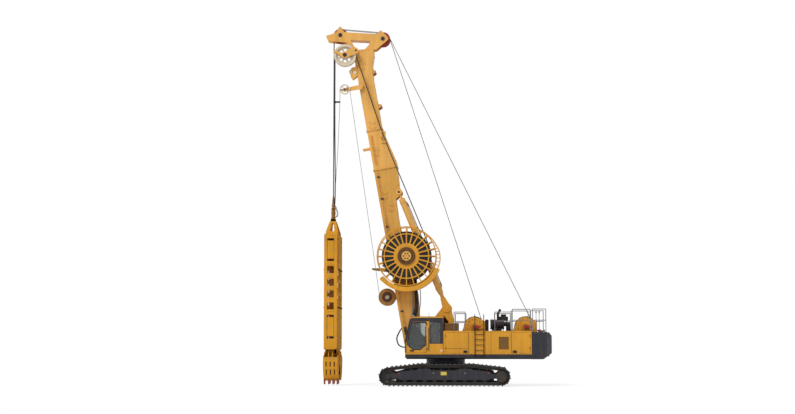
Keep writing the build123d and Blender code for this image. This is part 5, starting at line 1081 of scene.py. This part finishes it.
class GRAB_OT_cylinders(bpy.types.Operator):
    """Dress the luffing cylinders: wide barrels hung from the boom over slimmer rods"""

    bl_idname = "grab.cylinders"
    bl_label = "Luffing cylinders"

    def execute(self, context):
        barrels, shafts, pipes, clevises = Maker(), Maker(), Maker(), Maker()
        length = (CYLINDER_LUG - BASE_PIN).length
        line = (CYLINDER_LUG - BASE_PIN).normalized()
        out = Vector((line.z, 0, -line.x))
        for side in (-1, 1):
            base = Vector((BASE_PIN.x, side * 0.33, BASE_PIN.z))
            eye = base + line * length
            profile = [(0.09, 0.78), (0.118, 0.78), (0.15, 1.04), (0.15, length - 0.36),
                       (0.058, length - 0.33), (0.058, length - 0.06), (0.02, length - 0.06), (0.02, 4.4),
                       (0.09, 4.4)]
            barrels.profile_ring(base, line, profile, 32)
            for along in (1.04, 2.6, 4.2, 5.6):
                barrels.ring(base, line, 0.148, 0.162, along, along + 0.05, 32)
            for maker, spot in ((barrels, eye), (shafts, base)):
                maker.ring(spot, (0, 1, 0), 0.056, 0.12, -0.064, 0.064, 32)
            for low, high, radius in ((-0.138, 0.138, 0.055), (-0.138, -0.118, 0.135), (0.118, 0.138, 0.135)):
                barrels.rod(eye + sideways(low), eye + sideways(high), radius, 28)
            add_clevis(clevises, base, line, out)
            shafts.rod(base + line * 0.06, base + line * 0.36, 0.058, 24)
            shafts.rod(base + line * 0.36, base + line * 3.9, 0.085, 32)
            bends = ((1.10, 0.155), (1.16, 0.19), (1.4, 0.19), (5.5, 0.19), (5.62, 0.15))
            pipes.sweep([base + line * along + out * across for along, across in bends], 0.018, 8)
            for along in (1.25, 2.625, 4.225, 5.45):
                pipes.rod(base + line * along + out * 0.14, base + line * along + out * 0.215, 0.03, 12)
        made = barrels.piece("luffing_barrels", "boom", "luff_rod", "boom_yellow")
        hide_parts("luff_rods")
        made = shafts.piece("luffing_shafts", "foot", "luff_barrel", "boom_yellow")
        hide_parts("luff_barrels")
        clevises.piece("cylinder_clevises", "body", "luff_barrel", "body_yellow", bevel=0.012)
        pipes.piece("cylinder_pipes", "ochre", "luff_rod", "boom_yellow")
        add_bracket_web()
        return {"FINISHED"}


def add_cab_surrounds():
    """Dark frames round the windows and along the front edge."""
    door = Maker()
    edge = [(-1.812, 1.965), (-1.812, 2.10), (-1.596, 3.08), (-0.885, 3.08), (-0.885, 1.945),
            (-1.165, 1.715), (-1.535, 1.715)]
    door.band(at_places(DOOR_WINDOW), at_places(edge), -1.606, -1.585)
    door.piece("door_surround", "slate", "cab_door", "dark_grey", bevel=0.004)
    shell = Maker()
    window = [(-0.685, 2.055), (-0.685, 3.03), (-0.215, 3.03), (-0.215, 2.055)]
    edge = [(-0.735, 2.02), (-0.735, 3.20), (-0.078, 3.20), (-0.078, 2.02)]
    shell.band(at_places(window), at_places(edge), -1.606, -1.59)
    front = [(-1.905, 2.09), (-1.66, 3.17), (-1.585, 3.25), (-0.08, 3.25), (-0.08, 3.095),
             (-1.605, 3.095), (-1.832, 2.10)]
    shell.slab(at_places(front), -1.6055, -1.59)
    shell.slab(at_places(front), -0.65, -0.634)
    shell.box(at(-1.912, -1.6055, 1.60), at(-1.855, -1.56, 2.10))
    for y in (-1.575, -0.665):
        shell.sweep([at(-1.905, y, 2.10), at(-1.66, y, 3.16)], 0.03, 8)
    shell.cross(-1.905, 2.10, -1.58, -0.66, 0.018, 12)
    shell.cross(-1.655, 3.17, -1.58, -0.66, 0.03, 12)
    shell.piece("cab_surrounds", "slate", "upper", "dark_grey", bevel=0.003)


def add_cab_roof():
    """Yellow roof cap with ribs, lamp guards and the aerial."""
    cap = Maker()
    outline = [(-1.70, 3.27), (-1.60, 3.315), (-0.10, 3.315), (-0.02, 3.27), (-0.10, 3.25), (-1.58, 3.25)]
    cap.slab(at_places(outline), -1.60, -0.64)
    for y in (-1.44, -1.26, -1.08, -0.90):
        cap.box(at(-1.30, y, 3.30), at(-0.25, y + 0.06, 3.33))
    cap.piece("cab_roof", "body", "upper", "body_yellow", bevel=0.01)
    gear = Maker()
    gear.post(-0.753, -1.45, 3.27, 3.31, 0.03)
    gear.post(-0.753, -1.45, 3.30, 3.52, 0.006, 8)
    for y in (-1.48, -0.88):
        gear.ring(at(-1.55, y, 3.31), (1, 0, 0), 0.058, 0.07, -0.02, 0.075, 24)
        gear.box(at(-1.52, y - 0.05, 3.245), at(-1.46, y + 0.05, 3.26))
    gear.piece("roof_gear", "black", "upper", "black")


def add_cab_gear():
    """Handles, mirror, wiper and a blank plate."""
    handle = Maker()
    grip = ((-1.64, -1.60), (-1.63, -1.645), (-1.51, -1.645), (-1.50, -1.60))
    handle.hose([at(x, y, 1.69) for x, y in grip], 0.014)
    handle.box(at(-1.67, -1.612, 1.65), at(-1.47, -1.60, 1.73))
    hinge = pin("cab_door_hinge")
    for z in (1.72, 2.9):
        handle.rod((hinge.x, hinge.y, z), (hinge.x, hinge.y, z + 0.12), 0.018, 12)
    handle.piece("cab_door_handle", "black", "cab_door", "black", bevel=0.003)
    gear = Maker()
    gear.hose([at(-1.76, -1.60, 2.62), at(-1.86, -1.72, 2.66), at(-1.87, -1.80, 2.62)], 0.012)
    gear.box(at(-1.895, -1.87, 2.42), at(-1.855, -1.70, 2.70))
    gear.sweep([at(-1.885, -1.10, 2.16), at(-1.80, -1.22, 2.56), at(-1.73, -1.24, 2.88)], 0.010, 6)
    gear.rod(at(-1.80, -1.22, 2.54), at(-1.705, -1.25, 2.96), 0.014, 6)
    rail = ((-1.60, 1.75), (-1.66, 1.78), (-1.66, 2.70), (-1.60, 2.73))
    gear.hose([at(-0.775, y, z) for y, z in rail], 0.014)
    gear.piece("cab_gear", "black", "upper", "black", bevel=0.004)
    plate = Maker()
    plate.box(at(-0.20, -1.605, 1.66), at(-0.11, -1.60, 1.73))
    for x in (-0.19, -0.12):
        plate.bolt(at(x, -1.605, 1.695), (0, -1, 0), 0.006)
    plate.piece("cab_plate", "white", "upper", "cream")


def add_cab_inside():
    """Seat, consoles with levers, and the screen."""
    seat = Maker()
    seat.box(at(-0.94, -1.34, 1.98), at(-0.46, -0.90, 2.10))
    seat.slab(at_places([(-0.46, 2.06), (-0.34, 2.06), (-0.27, 2.62), (-0.36, 2.64)]), -1.34, -0.90)
    seat.slab(at_places([(-0.35, 2.60), (-0.27, 2.60), (-0.265, 2.70), (-0.34, 2.70)]), -1.24, -1.00)
    seat.piece("seat_cushions", "seat", "upper", "seat", bevel=0.03)
    inside = Maker()
    inside.box(at(-0.90, -1.30, 1.57), at(-0.46, -0.94, 1.98))
    for low, high in ((-1.51, -1.39), (-0.85, -0.73)):
        inside.box(at(-1.0, low, 1.57), at(-0.44, high, 2.10))
        middle = (low + high) / 2
        inside.rod(at(-0.94, middle, 2.10), at(-0.96, middle, 2.24), 0.013, 10)
        inside.rod(at(-0.96, middle, 2.22), at(-0.965, middle, 2.31), 0.024, 12)
    inside.box(at(-1.66, -1.17, 1.57), at(-1.58, -1.07, 2.20))
    inside.box(at(-1.70, -1.30, 2.14), at(-1.55, -0.94, 2.20))
    inside.slab(at_places([(-1.64, 2.22), (-1.60, 2.22), (-1.54, 2.46), (-1.58, 2.46)]), -1.26, -0.98)
    made = inside.piece("cab_fittings", "black", "upper", "black", bevel=0.008)
    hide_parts("cab_interior")


class GRAB_OT_cab(bpy.types.Operator):
    """Dress the cab outside and in"""

    bl_idname = "grab.cab"
    bl_label = "Cab"

    def execute(self, context):
        add_cab_surrounds()
        add_cab_roof()
        add_cab_gear()
        add_cab_inside()
        return {"FINISHED"}


def dress_doors(side, name):
    """Handles and hinges of a side's two doors, and a dark line on the front one."""
    wall = side * HOUSE_WALL
    for place, hinge, grip in (("front", 0.05, 0.98), ("rear", 4.06, 3.34)):
        trim = Maker()
        wall_box(trim, side, grip - 0.09, grip + 0.09, 1.595, 1.695, wall, 0.034)
        bar = wall + side * 0.03
        trim.rod(at(grip - 0.06, bar, 1.645), at(grip + 0.06, bar, 1.645), 0.012, 8)
        knuckle = wall + side * 0.006
        for z in (1.75, 2.36):
            trim.post(hinge, knuckle, z, z + 0.10, 0.014, 10)
        if place == "front":
            wall_box(trim, side, 0.06, 1.08, 1.776, 1.79, wall, 0.003)
        trim.piece(f"door_trim_{place}_{name}", "black", f"house_door_{place}_{name}", "black")


def add_cooler_ribs():
    """Ribs of the oil cooler's core and its frame."""
    ribs = Maker()
    for number in range(16):
        x = 0.035 + 0.04 * number
        ribs.box(at(x, -1.515, 2.66), at(x + 0.016, -1.50, 2.97))
        ribs.box(at(x, -0.90, 2.66), at(x + 0.016, -0.885, 2.97))
    for z in (2.635, 2.97):
        ribs.box(at(0.0, -1.52, z), at(0.67, -0.88, z + 0.03))
    ribs.piece("cooler_ribs", "ochre", "upper", "body_yellow", bevel=0.003)


def add_tank_gear():
    """Filler cap, gauge and straps of the side tank."""
    gear = Maker()
    gear.post(-0.95, 1.15, 2.42, 2.47, 0.07, 24)
    gear.post(-0.95, 1.15, 2.46, 2.50, 0.055, 8)
    for x in (-1.15, -0.25):
        gear.box(at(x, 0.71, 2.40), at(x + 0.06, 1.605, 2.428))
        gear.box(at(x, 1.595, 1.52), at(x + 0.06, 1.607, 2.428))
    gear.box(at(-0.72, 1.60, 1.80), at(-0.66, 1.612, 2.20))
    gear.piece("tank_gear", "slate", "upper", "dark_grey", bevel=0.004)


class GRAB_OT_house(bpy.types.Operator):
    """Add the joint lines, grilles with painted shade behind them, treads and door trim of the houses, the
    cooler's ribs and the tank's gear
    """

    bl_idname = "grab.house"
    bl_label = "Houses"

    def execute(self, context):
        seams_and_shade, mesh, tops, bolts = Maker(), Maker(), Maker(), Maker()
        for side, name in ((-1, "left"), (1, "right")):
            wall = side * HOUSE_WALL
            for x in (1.15, 1.94, 2.21, 3.17):
                wall_box(seams_and_shade, side, x - 0.006, x + 0.006, 1.53, 2.61, wall, 0.0025)
            wall_box(seams_and_shade, side, 1.20, 3.12, 2.575, 2.583, wall, 0.0025)
            # Black sheet behind the grille: painted shade in its openings.
            wall_box(seams_and_shade, side, 2.60, 3.04, 1.77, 2.33, wall, 0.003)
            for number in range(13):
                z = 1.77 + 0.0455 * number
                wall_box(mesh, side, 2.60, 3.04, z, z + 0.024, wall, 0.014)
            for number in range(10):
                x = 2.60 + 0.0474 * number
                wall_box(mesh, side, x, x + 0.016, 1.77, 2.33, wall, 0.018)
            for number in range(34):
                x = 0.75 + 0.1 * number
                tops.box(at(x, side * 1.50, 2.628), at(x + 0.06, side * 0.88, 2.634))
            for number in range(21):
                bolts.bolt(at(0.10 + 0.195 * number, wall, 1.545), (0, side, 0), 0.010)
            dress_doors(side, name)
        seams_and_shade.piece("house_seams", "black", "upper", "black")
        mesh.piece("house_grilles", "ochre", "upper", "body_yellow")
        tops.piece("house_treads", "ochre", "upper", "body_yellow")
        bolts.piece("house_bolts", "slate", "upper", "dark_grey")
        add_cooler_ribs()
        add_tank_gear()
        return {"FINISHED"}


def add_intake():
    """Black intake housing over the engine, with its ribs and inlet."""
    top = Maker()
    top.box(at(2.62, -0.38, 3.12), at(3.05, 0.10, 3.34))
    for number in range(7):
        x = 2.64 + 0.06 * number
        top.box(at(x, -0.395, 3.13), at(x + 0.022, -0.38, 3.33))
    top.post(2.83, -0.14, 3.33, 3.42, 0.13, 28)
    top.post(2.83, -0.14, 3.41, 3.45, 0.17, 28, end_radius=0.12)
    for y in (-0.34, 0.05):
        top.box(at(2.66, y - 0.03, 2.45), at(2.72, y + 0.03, 3.13))
        top.box(at(2.95, y - 0.03, 2.45), at(3.01, y + 0.03, 3.13))
    top.piece("engine_intake", "black", "upper", "black", bevel=0.012)


def add_engine_hoses(rigging):
    """Coolant and oil hoses over the engine block."""
    hoses = Maker()
    for y, lift in ((-0.20, 0.10), (0.02, 0.16), (0.22, 0.08)):
        route = [at(2.30, y, 2.44), at(2.28, y, 2.60 + lift), at(2.42, y + 0.05, 2.72 + lift),
                 at(2.62, y + 0.06, 2.62), at(2.70, y + 0.04, 2.44)]
        hoses.hose(route, rigging.hose_radius, 10)
    for x in (2.36, 3.08):
        route = [at(x, -0.60, 2.30), at(x, -0.74, 2.36), at(x + 0.05, -0.76, 2.56),
                 at(x + 0.12, -0.70, 2.74), at(x + 0.12, -0.60, 2.80)]
        hoses.hose(route, rigging.hose_radius * 0.8, 10)
    hoses.piece("engine_hoses", "hose", "upper", "hose")


class GRAB_OT_engine(bpy.types.Operator):
    """Add the exhaust's bands, the intake housing and the engine's hoses"""

    bl_idname = "grab.engine"
    bl_label = "Engine"

    def execute(self, context):
        bands = Maker()
        axis = at(0, -0.43, 2.925)
        for x in (2.25, 2.52, 2.79):
            bands.ring(axis, (1, 0, 0), 0.27, 0.285, x, x + 0.035, 40)
            bands.box(at(x, -0.46, 3.20), at(x + 0.035, -0.40, 3.225))
        bands.bolt_circle(axis + Vector((2.19, 0, 0)), (-1, 0, 0), 0.22, 8, 0.016)
        bands.piece("exhaust_bands", "slate", "upper", "dark_grey", bevel=0.003)
        add_intake()
        add_engine_hoses(context.scene.grab_rigging)
        return {"FINISHED"}


class GRAB_OT_winches(bpy.types.Operator):
    """Wind the winches and add their motors and bolts, and the breather beside them"""

    bl_idname = "grab.winches"
    bl_label = "Winches"

    def execute(self, context):
        radius = context.scene.grab_rigging.rope_radius
        trim, red = Maker(), Maker()
        for name, winch in WINCHES.items():
            axis = Vector((winch.x, 0, winch.z))
            turns = Maker()
            for number in range(31):
                section = wound_section(DRUM_RADIUS + radius, -0.515 + 0.0343 * number, radius)
                turns.profile_ring(axis, (0, 1, 0), section, 48)
            turns.piece(f"drum_rope_{name}", "rope", f"winch_drum_{name}", "steel", smooth=80)
            face = axis + sideways(-0.76)
            trim.bolt_circle(face, (0, -1, 0), 0.14, 10, 0.014)
            for side in (-1, 1):
                trim.bolt_circle(axis + sideways(side * 0.61), (0, side, 0), 0.36, 12, 0.016, shift=0.5)
            red.rod(face, face + sideways(-0.06), 0.10, 28)
            red.rod(face + sideways(-0.05), face + sideways(-0.20), 0.075, 28)
            red.box(face + Vector((0.04, -0.17, -0.05)), face + Vector((0.30, -0.06, 0.06)))
        trim.post(2.02, -0.72, 2.63, 3.12, 0.085, 24)
        trim.post(2.02, -0.72, 3.11, 3.19, 0.105, 24, end_radius=0.06)
        trim.piece("winch_bolts", "black", "upper", "black")
        red.piece("winch_motors", "red", "upper", "red", bevel=0.006)
        return {"FINISHED"}


def add_weight_trim():
    """Bolts and joint lines of the counterweight."""
    trim = Maker()
    for side in (-1, 1):
        wall = side * HOUSE_WALL
        wall_box(trim, side, 4.16, 5.10, 1.93, 1.942, wall, 0.003)
        for x in (4.30, 4.95):
            for z in (1.45, 2.40):
                trim.bolt(at(x, wall, z), (0, side, 0), 0.028)
    for y in (-1.2, -0.4, 0.4, 1.2):
        trim.bolt(at(4.66, y, WEIGHT_TOP), (0, 0, 1), 0.03)
    trim.piece("weight_bolts", "black", "upper", "black")


class GRAB_OT_deck(bpy.types.Operator):
    """Add the feet of the rails, two short masts, the beacon, the lamp guards and the weight's bolts"""

    bl_idname = "grab.deck"
    bl_label = "Deck"

    def execute(self, context):
        feet, beacon, lamps = Maker(), Maker(), Maker()
        for x in (0.45, 0.98, 2.40, 3.19, 3.24, 4.08, 4.20, 4.83):
            deck = HOUSE_TOP if x < 4.1 else WEIGHT_TOP
            for y in (-1.56, 1.56):
                feet.box(at(x - 0.05, y - 0.035, deck), at(x + 0.05, y + 0.035, deck + 0.012))
                for offset in (-0.034, 0.034):
                    feet.bolt(at(x + offset, y, deck + 0.012), (0, 0, 1), 0.010)
        for x in (4.37, 4.52):
            feet.post(x, -1.50, WEIGHT_TOP, 3.50, 0.012, 10)
            feet.post(x, -1.50, 3.48, 3.56, 0.028, 12)
        feet.piece("rail_feet", "black", "upper", "black")
        dome = [(0.046, 0), (0.052, 0.01), (0.052, 0.07), (0.04, 0.10), (0.015, 0.105), (0.015, 0.097),
                (0.046, 0.06)]
        beacon.profile_ring(at(4.56, -1.35, 2.60), (0, 0, 1), dome, 32)
        beacon.ring(at(4.56, -1.35, WEIGHT_TOP), (0, 0, 1), 0.03, 0.062, 0, 0.03, 32)
        beacon.piece("beacon_lens", "red lens", "upper", "red")
        for y in (-1.40, 1.40):
            lamps.ring(at(4.70, y, 2.625), (1, 0, 0), 0.058, 0.07, -0.01, 0.09, 24)
            lamps.box(at(4.70, y - 0.04, 2.56), at(4.76, y + 0.04, 2.575))
        lamps.piece("rear_lamp_guards", "black", "upper", "black")
        add_weight_trim()
        return {"FINISHED"}


def add_track_plate():
    """Blank yellow plate and red grease points of the near side."""
    plate, red = Maker(), Maker()
    wall_box(plate, -1, -0.18, 0.10, 0.53, 0.69, -TRACK_WALL, 0.008)
    for x in (-0.16, 0.08):
        plate.bolt(at(x, -TRACK_WALL - 0.008, 0.61), (0, -1, 0), 0.007)
    plate.piece("track_plate", "plate", "undercarriage", "body_yellow", bevel=0.002)
    for x, z in ((-2.19, 0.60), (2.09, 0.64)):
        wall_box(red, -1, x - 0.05, x + 0.05, z - 0.03, z + 0.03, -TRACK_WALL, 0.015)
        red.cross(x, z, -TRACK_WALL, -TRACK_WALL - 0.03, 0.018, 12)
    red.piece("grease_points", "red", "undercarriage", "red", bevel=0.003)


class GRAB_OT_tracks(bpy.types.Operator):
    """Add the bolts, covers and plates of the undercarriage, and black sheets of painted shade inside the
    tracks
    """

    bl_idname = "grab.tracks"
    bl_label = "Undercarriage"

    def execute(self, context):
        bolts, dark, pale = Maker(), Maker(), Maker()
        for side in (-1, 1):
            wall = side * TRACK_WALL
            for number in range(24):
                bolts.bolt(at(-2.3 + 0.2 * number, wall, 0.345), (0, side, 0), 0.014)
            for x, radius, count in ((2.69, 0.205, 12), (-2.69, 0.08, 6)):
                bolts.bolt_circle(at(x, wall, 0.465), (0, side, 0), radius, count, 0.014)
            dark.ring(at(2.69, 0, 0.465), (0, 1, 0), 0.02, 0.255, *sorted((side * 1.98, wall)))
            dark.ring(at(2.69, 0, 0.465), (0, 1, 0), 0.09, 0.15, *sorted((wall, wall + side * 0.02)))
            dark.ring(at(-2.69, 0, 0.465), (0, 1, 0), 0.02, 0.11, *sorted((side * 1.98, wall)))
            # Black sheet inside each track behind the rollers: painted shade where the floor would show
            # through.
            guard = [(-2.35, 0.16), (-2.35, 0.70), (-1.6, 0.90), (-1.2, 0.95), (1.2, 0.95), (1.6, 0.90),
                     (2.35, 0.70), (2.35, 0.16)]
            dark.slab(at_places(guard), *sorted((side * 1.565, side * 1.545)))
            for x in (-0.55, 0.95):
                wall_box(pale, side, x, x + 0.05, 0.60, 0.65, wall, 0.012)
            for number in range(12):
                pale.bolt(at(-1.95 + 0.36 * number, wall, 0.80), (0, side, 0), 0.010)
        bolts.piece("track_bolts", "slate", "undercarriage", "dark_grey")
        dark.piece("track_covers_and_shade", "black", "undercarriage", "black", bevel=0.004)
        pale.piece("track_fittings", "steel", "undercarriage", "steel")
        add_track_plate()
        return {"FINISHED"}


def add_grab_head():
    """Leaning cheeks over the frame, the slim swivel with its sockets, and thin hoses."""
    cheeks = Maker()
    outer = [(-0.30, 7.35), (-0.30, 7.52), (-0.15, 8.06), (0.15, 8.06), (0.30, 7.52), (0.30, 7.35)]
    inner = [(-0.10, 7.52), (-0.11, 7.60), (-0.05, 7.94), (0.05, 7.94), (0.11, 7.60), (0.10, 7.52)]
    inner, outer = ([(GRAB.x + x, z) for x, z in outline] for outline in (inner, outer))
    foot, foot_y, lean = 7.35, 0.82, 0.63 / 0.71
    for side in (-1, 1):
        before = len(cheeks.mesh.verts)
        cheeks.band(inner, outer, -0.03, 0.03)
        cheeks.mesh.verts.ensure_lookup_table()
        for vert in cheeks.mesh.verts[before:]:
            vert.co.y += side * (foot_y - (vert.co.z - foot) * lean)
    cheeks.box((GRAB.x - 0.12, -0.19, 8.0), (GRAB.x + 0.12, 0.19, 8.18))
    cheeks.piece("head_cheeks", "grab", "grab", "body_yellow", bevel=0.01)
    swivel, wires = Maker(), Maker()
    swivel.ring((GRAB.x, 0, 0), (0, 0, 1), 0.075, 0.10, 8.195, 8.72, 32)
    for z in (8.22, 8.45, 8.66):
        swivel.ring((GRAB.x, 0, 0), (0, 0, 1), 0.078, 0.112, z, z + 0.05, 32)
    swivel.panel([(-0.19, 8.72), (0.19, 8.72), (0.19, 8.90), (0.13, 8.96), (-0.13, 8.96), (-0.19, 8.90)],
                 GRAB.x - 0.055, GRAB.x + 0.055)
    for y in (-ROPE_Y, ROPE_Y):
        swivel.rod((GRAB.x, y, 8.90), (GRAB.x, y, 9.08), 0.05, 20)
        swivel.rod((GRAB.x, y, 9.08), (GRAB.x, y, 9.33), 0.05, 20, end_radius=0.022)
        for side in (-1, 1):
            swivel.bolt((GRAB.x + side * 0.055, y, 8.84), (side, 0, 0), 0.03)
    made = swivel.piece("swivel", "rust_and_shade", "suspension", "body_yellow", bevel=0.004)
    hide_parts("grab_suspension")
    for y, reach in ((-0.14, 0.0), (-0.20, 0.05)):
        route = [at(-5.47, y, 8.86), at(-5.43 + reach, y - 0.02, 8.72), at(-5.35 + reach, y, 8.48),
                 at(-5.38 + reach, y, 8.30), at(-5.46, y + 0.10, 8.26)]
        wires.hose(route, 0.014)
    wires.piece("swivel_hoses", "hose", "suspension", "hose")


def add_jaw_trim():
    """Pin caps and bolts of the jaws, and dark sheets of painted shade behind their slots."""
    caps = Maker()
    for name in ("near", "far"):
        pivot = pin(f"jaw_{name}_swing")
        for end in (-1, 1):
            spot = Vector((GRAB.x + end * 0.352, pivot.y, pivot.z))
            caps.ring(spot, (end, 0, 0), 0.03, 0.085, -0.005, 0.014, 28)
            caps.bolt_circle(spot, (end, 0, 0), 0.06, 6, 0.011)
    caps.piece("jaw_pin_caps", "slate", "grab", "dark_grey")
    for name, side, places in (("near", -1, (-0.33, -0.11, 0.11, 0.33)), ("far", 1, (-0.22, 0.0, 0.22))):
        trim = Maker()
        for x in places:
            trim.bolt(at(-5.55 + x, side * 0.80, 0.30), (0, side, 0), 0.014)
        for x in (-0.20, 0.0, 0.20):
            trim.bolt(at(-5.55 + x, side * 1.19, 1.30), (0, side, 0), 0.016)
        trim.piece(f"jaw_bolts_{name}", "steel", f"jaw_{name}", "steel")
        # Brown sheets behind the slots: painted shade inside the jaws.
        shade_sheet = Maker()
        back = [(0.94, 0.53), (1.10, 0.875), (1.14, 1.20), (1.128, 1.20), (1.088, 0.88), (0.928, 0.54)]
        back = [(side * y, z) for y, z in back]
        shade_sheet.panel(back, GRAB.x - 0.29, GRAB.x + 0.29)
        for x in (-0.29, 0.27):
            end = [*back[:3], (side * 1.0, 1.2), (side * 0.8, 0.6)]
            shade_sheet.panel(end, GRAB.x + x, GRAB.x + x + 0.02)
        shade_sheet.piece(f"jaw_shade_sheet_{name}", "brown", f"jaw_{name}", "body_yellow")


class GRAB_OT_grab_trim(bpy.types.Operator):
    """Add the bolts, wear bars, head, swivel and jaw trim of the grab"""

    bl_idname = "grab.grab_trim"
    bl_label = "Grab"

    def execute(self, context):
        bolts, bars = Maker(), Maker()
        for side in (-1, 1):
            for x in (-5.75, -5.35):
                for z in (6.10, 6.58, 7.06, 2.34, 2.84, 3.34):
                    bolts.bolt(at(x, side * GRAB_WALL, z), (0, side, 0), 0.018)
            for z in (4.64, 5.20, 5.82, 3.58):
                bars.box(at(-5.72, side * 1.196, z), at(-5.38, side * 1.212, z + 0.07))
            for face in (-5.902, -5.198):
                low, high = sorted((face, face + (0.014 if face > -5.5 else -0.014)))
                for y in (-0.95, -0.45, 0.05, 0.55):
                    bars.box(at(low, y, 3.75), at(high, y + 0.4, 3.81))
                    bars.box(at(low, y, 5.60), at(high, y + 0.4, 5.66))
        bolts.piece("grab_bolts", "steel", "grab", "steel")
        # Brown plate with two ribs in the grab's middle: painted shade inside the frame.
        web = Maker()
        web.box(at(-5.86, -0.015, 1.39), at(-5.24, 0.015, 2.10))
        for x in (-5.86, -5.28):
            web.box(at(x, -0.10, 1.60), at(x + 0.04, 0.10, 2.10))
        web.piece("grab_web", "brown", "grab", "body_yellow", bevel=0.004)
        bars.piece("grab_wear_bars", "grab", "grab", "body_yellow", bevel=0.004)
        add_grab_head()
        add_jaw_trim()
        return {"FINISHED"}


def add_floor(stage):
    """Plain floor that shows near white and keeps the shadow."""
    bpy.ops.mesh.primitive_plane_add(size=1200, location=(0, 0, -0.002))
    floor = bpy.context.object
    floor.name = "studio_floor"
    finish = Finish("studio floor")
    finish.shade("Base Color", solid(stage.floor))
    finish.shade("Roughness", 0.95)
    finish.shade("Specular IOR Level", 0.0)
    glow = finish.add("ShaderNodeEmission", {"Color": (1, 1, 1, 1), "Strength": 1.22})
    mixed = finish.add("ShaderNodeMixShader", {"Fac": finish.times(seen_rays(finish.tree), 0.62)})
    finish.tree.links.new(finish.shader.outputs["BSDF"], mixed.inputs[1])
    finish.tree.links.new(glow.outputs["Emission"], mixed.inputs[2])
    finish.tree.links.new(mixed.outputs["Shader"], finish.tree.nodes["Material Output"].inputs["Surface"])
    floor.data.materials.append(finish.material)


def seen_rays(tree):
    """1 for rays that show the background: from the camera, mirrored or through glass."""
    path = tree.nodes.new("ShaderNodeLightPath")
    total = path.outputs["Is Camera Ray"]
    for name in ("Is Glossy Ray", "Is Transmission Ray"):
        node = tree.nodes.new("ShaderNodeMath")
        node.operation = "MAXIMUM"
        tree.links.new(total, node.inputs[0])
        tree.links.new(path.outputs[name], node.inputs[1])
        total = node.outputs["Value"]
    return total


def add_sky(scene, stage):
    """White backdrop with a plainer light from all round."""
    world = bpy.data.worlds.new("studio")
    world.use_nodes = True
    scene.world = world
    tree = world.node_tree
    background = tree.nodes["Background"]
    background.inputs["Color"].default_value = (1, 1, 1, 1)
    strength = tree.nodes.new("ShaderNodeMapRange")
    strength.inputs["To Min"].default_value = stage.sky
    strength.inputs["To Max"].default_value = 1.0
    tree.links.new(seen_rays(tree), strength.inputs["Value"])
    tree.links.new(strength.outputs["Result"], background.inputs["Strength"])


class GRAB_OT_stage(bpy.types.Operator):
    """Set the pale floor, soft light and the camera"""

    bl_idname = "grab.stage"
    bl_label = "Stage"

    def execute(self, context):
        scene = context.scene
        stage = scene.grab_stage
        scene.view_settings.view_transform = "Standard"
        add_floor(stage)
        add_sky(scene, stage)
        lamp = bpy.data.lights.new("soft sun", "SUN")
        lamp.energy = stage.sun
        lamp.angle = math.radians(25)
        sun = bpy.data.objects.new("soft_sun", lamp)
        sun.rotation_euler = (math.radians(48), 0, math.radians(-28))
        scene.collection.objects.link(sun)
        eye = bpy.data.cameras.new("photo camera")
        eye.lens = stage.lens
        eye.sensor_width = 36
        eye.clip_end = 1000
        camera = bpy.data.objects.new("photo_camera", eye)
        camera.location = at(*stage.camera)
        camera.rotation_euler = (math.radians(90) + stage.pitch, 0, stage.yaw)
        scene.collection.objects.link(camera)
        scene.camera = camera
        return {"FINISHED"}


PIECE_OPERATORS = [
    GRAB_OT_finish_frame,
    GRAB_OT_hoist_ropes,
    GRAB_OT_hoses,
    GRAB_OT_hose_reel,
    GRAB_OT_boom_trim,
    GRAB_OT_cylinders,
    GRAB_OT_cab,
    GRAB_OT_house,
    GRAB_OT_engine,
    GRAB_OT_winches,
    GRAB_OT_deck,
    GRAB_OT_tracks,
    GRAB_OT_grab_trim,
    GRAB_OT_stage,
]


class GRAB_PT_pieces(bpy.types.Panel):
    """Sidebar list of the machine's pieces"""

    bl_idname = "GRAB_PT_pieces"
    bl_label = "Diaphragm wall grab"
    bl_space_type = "VIEW_3D"
    bl_region_type = "UI"
    bl_category = "Grab"

    def draw(self, context):
        for operator in PIECE_OPERATORS:
            self.layout.operator(operator.bl_idname)
        for name in SETTINGS:
            box = self.layout.box()
            settings = getattr(context.scene, name)
            for key in settings.bl_rna.properties.keys():
                if key not in ("rna_type", "name"):
                    box.prop(settings, key)


SETTINGS = {
    "grab_paint": GrabPaint,
    "grab_wear": GrabWear,
    "grab_rigging": GrabRigging,
    "grab_stage": GrabStage,
}
CLASSES = [*SETTINGS.values(), *PIECE_OPERATORS, GRAB_PT_pieces]


def register():
    """Add the settings, operators and panel."""
    for made in CLASSES:
        bpy.utils.register_class(made)
    for name, kind in SETTINGS.items():
        setattr(bpy.types.Scene, name, PointerProperty(type=kind))


def unregister():
    """Take them away again."""
    for name in SETTINGS:
        delattr(bpy.types.Scene, name)
    for made in reversed(CLASSES):
        bpy.utils.unregister_class(made)


def main():
    """Dress the frame piece by piece."""
    register()
    make_finishes()
    for operator in PIECE_OPERATORS:
        group, name = operator.bl_idname.split(".")
        getattr(getattr(bpy.ops, group), name)()


if __name__ == "__main__":
    main()
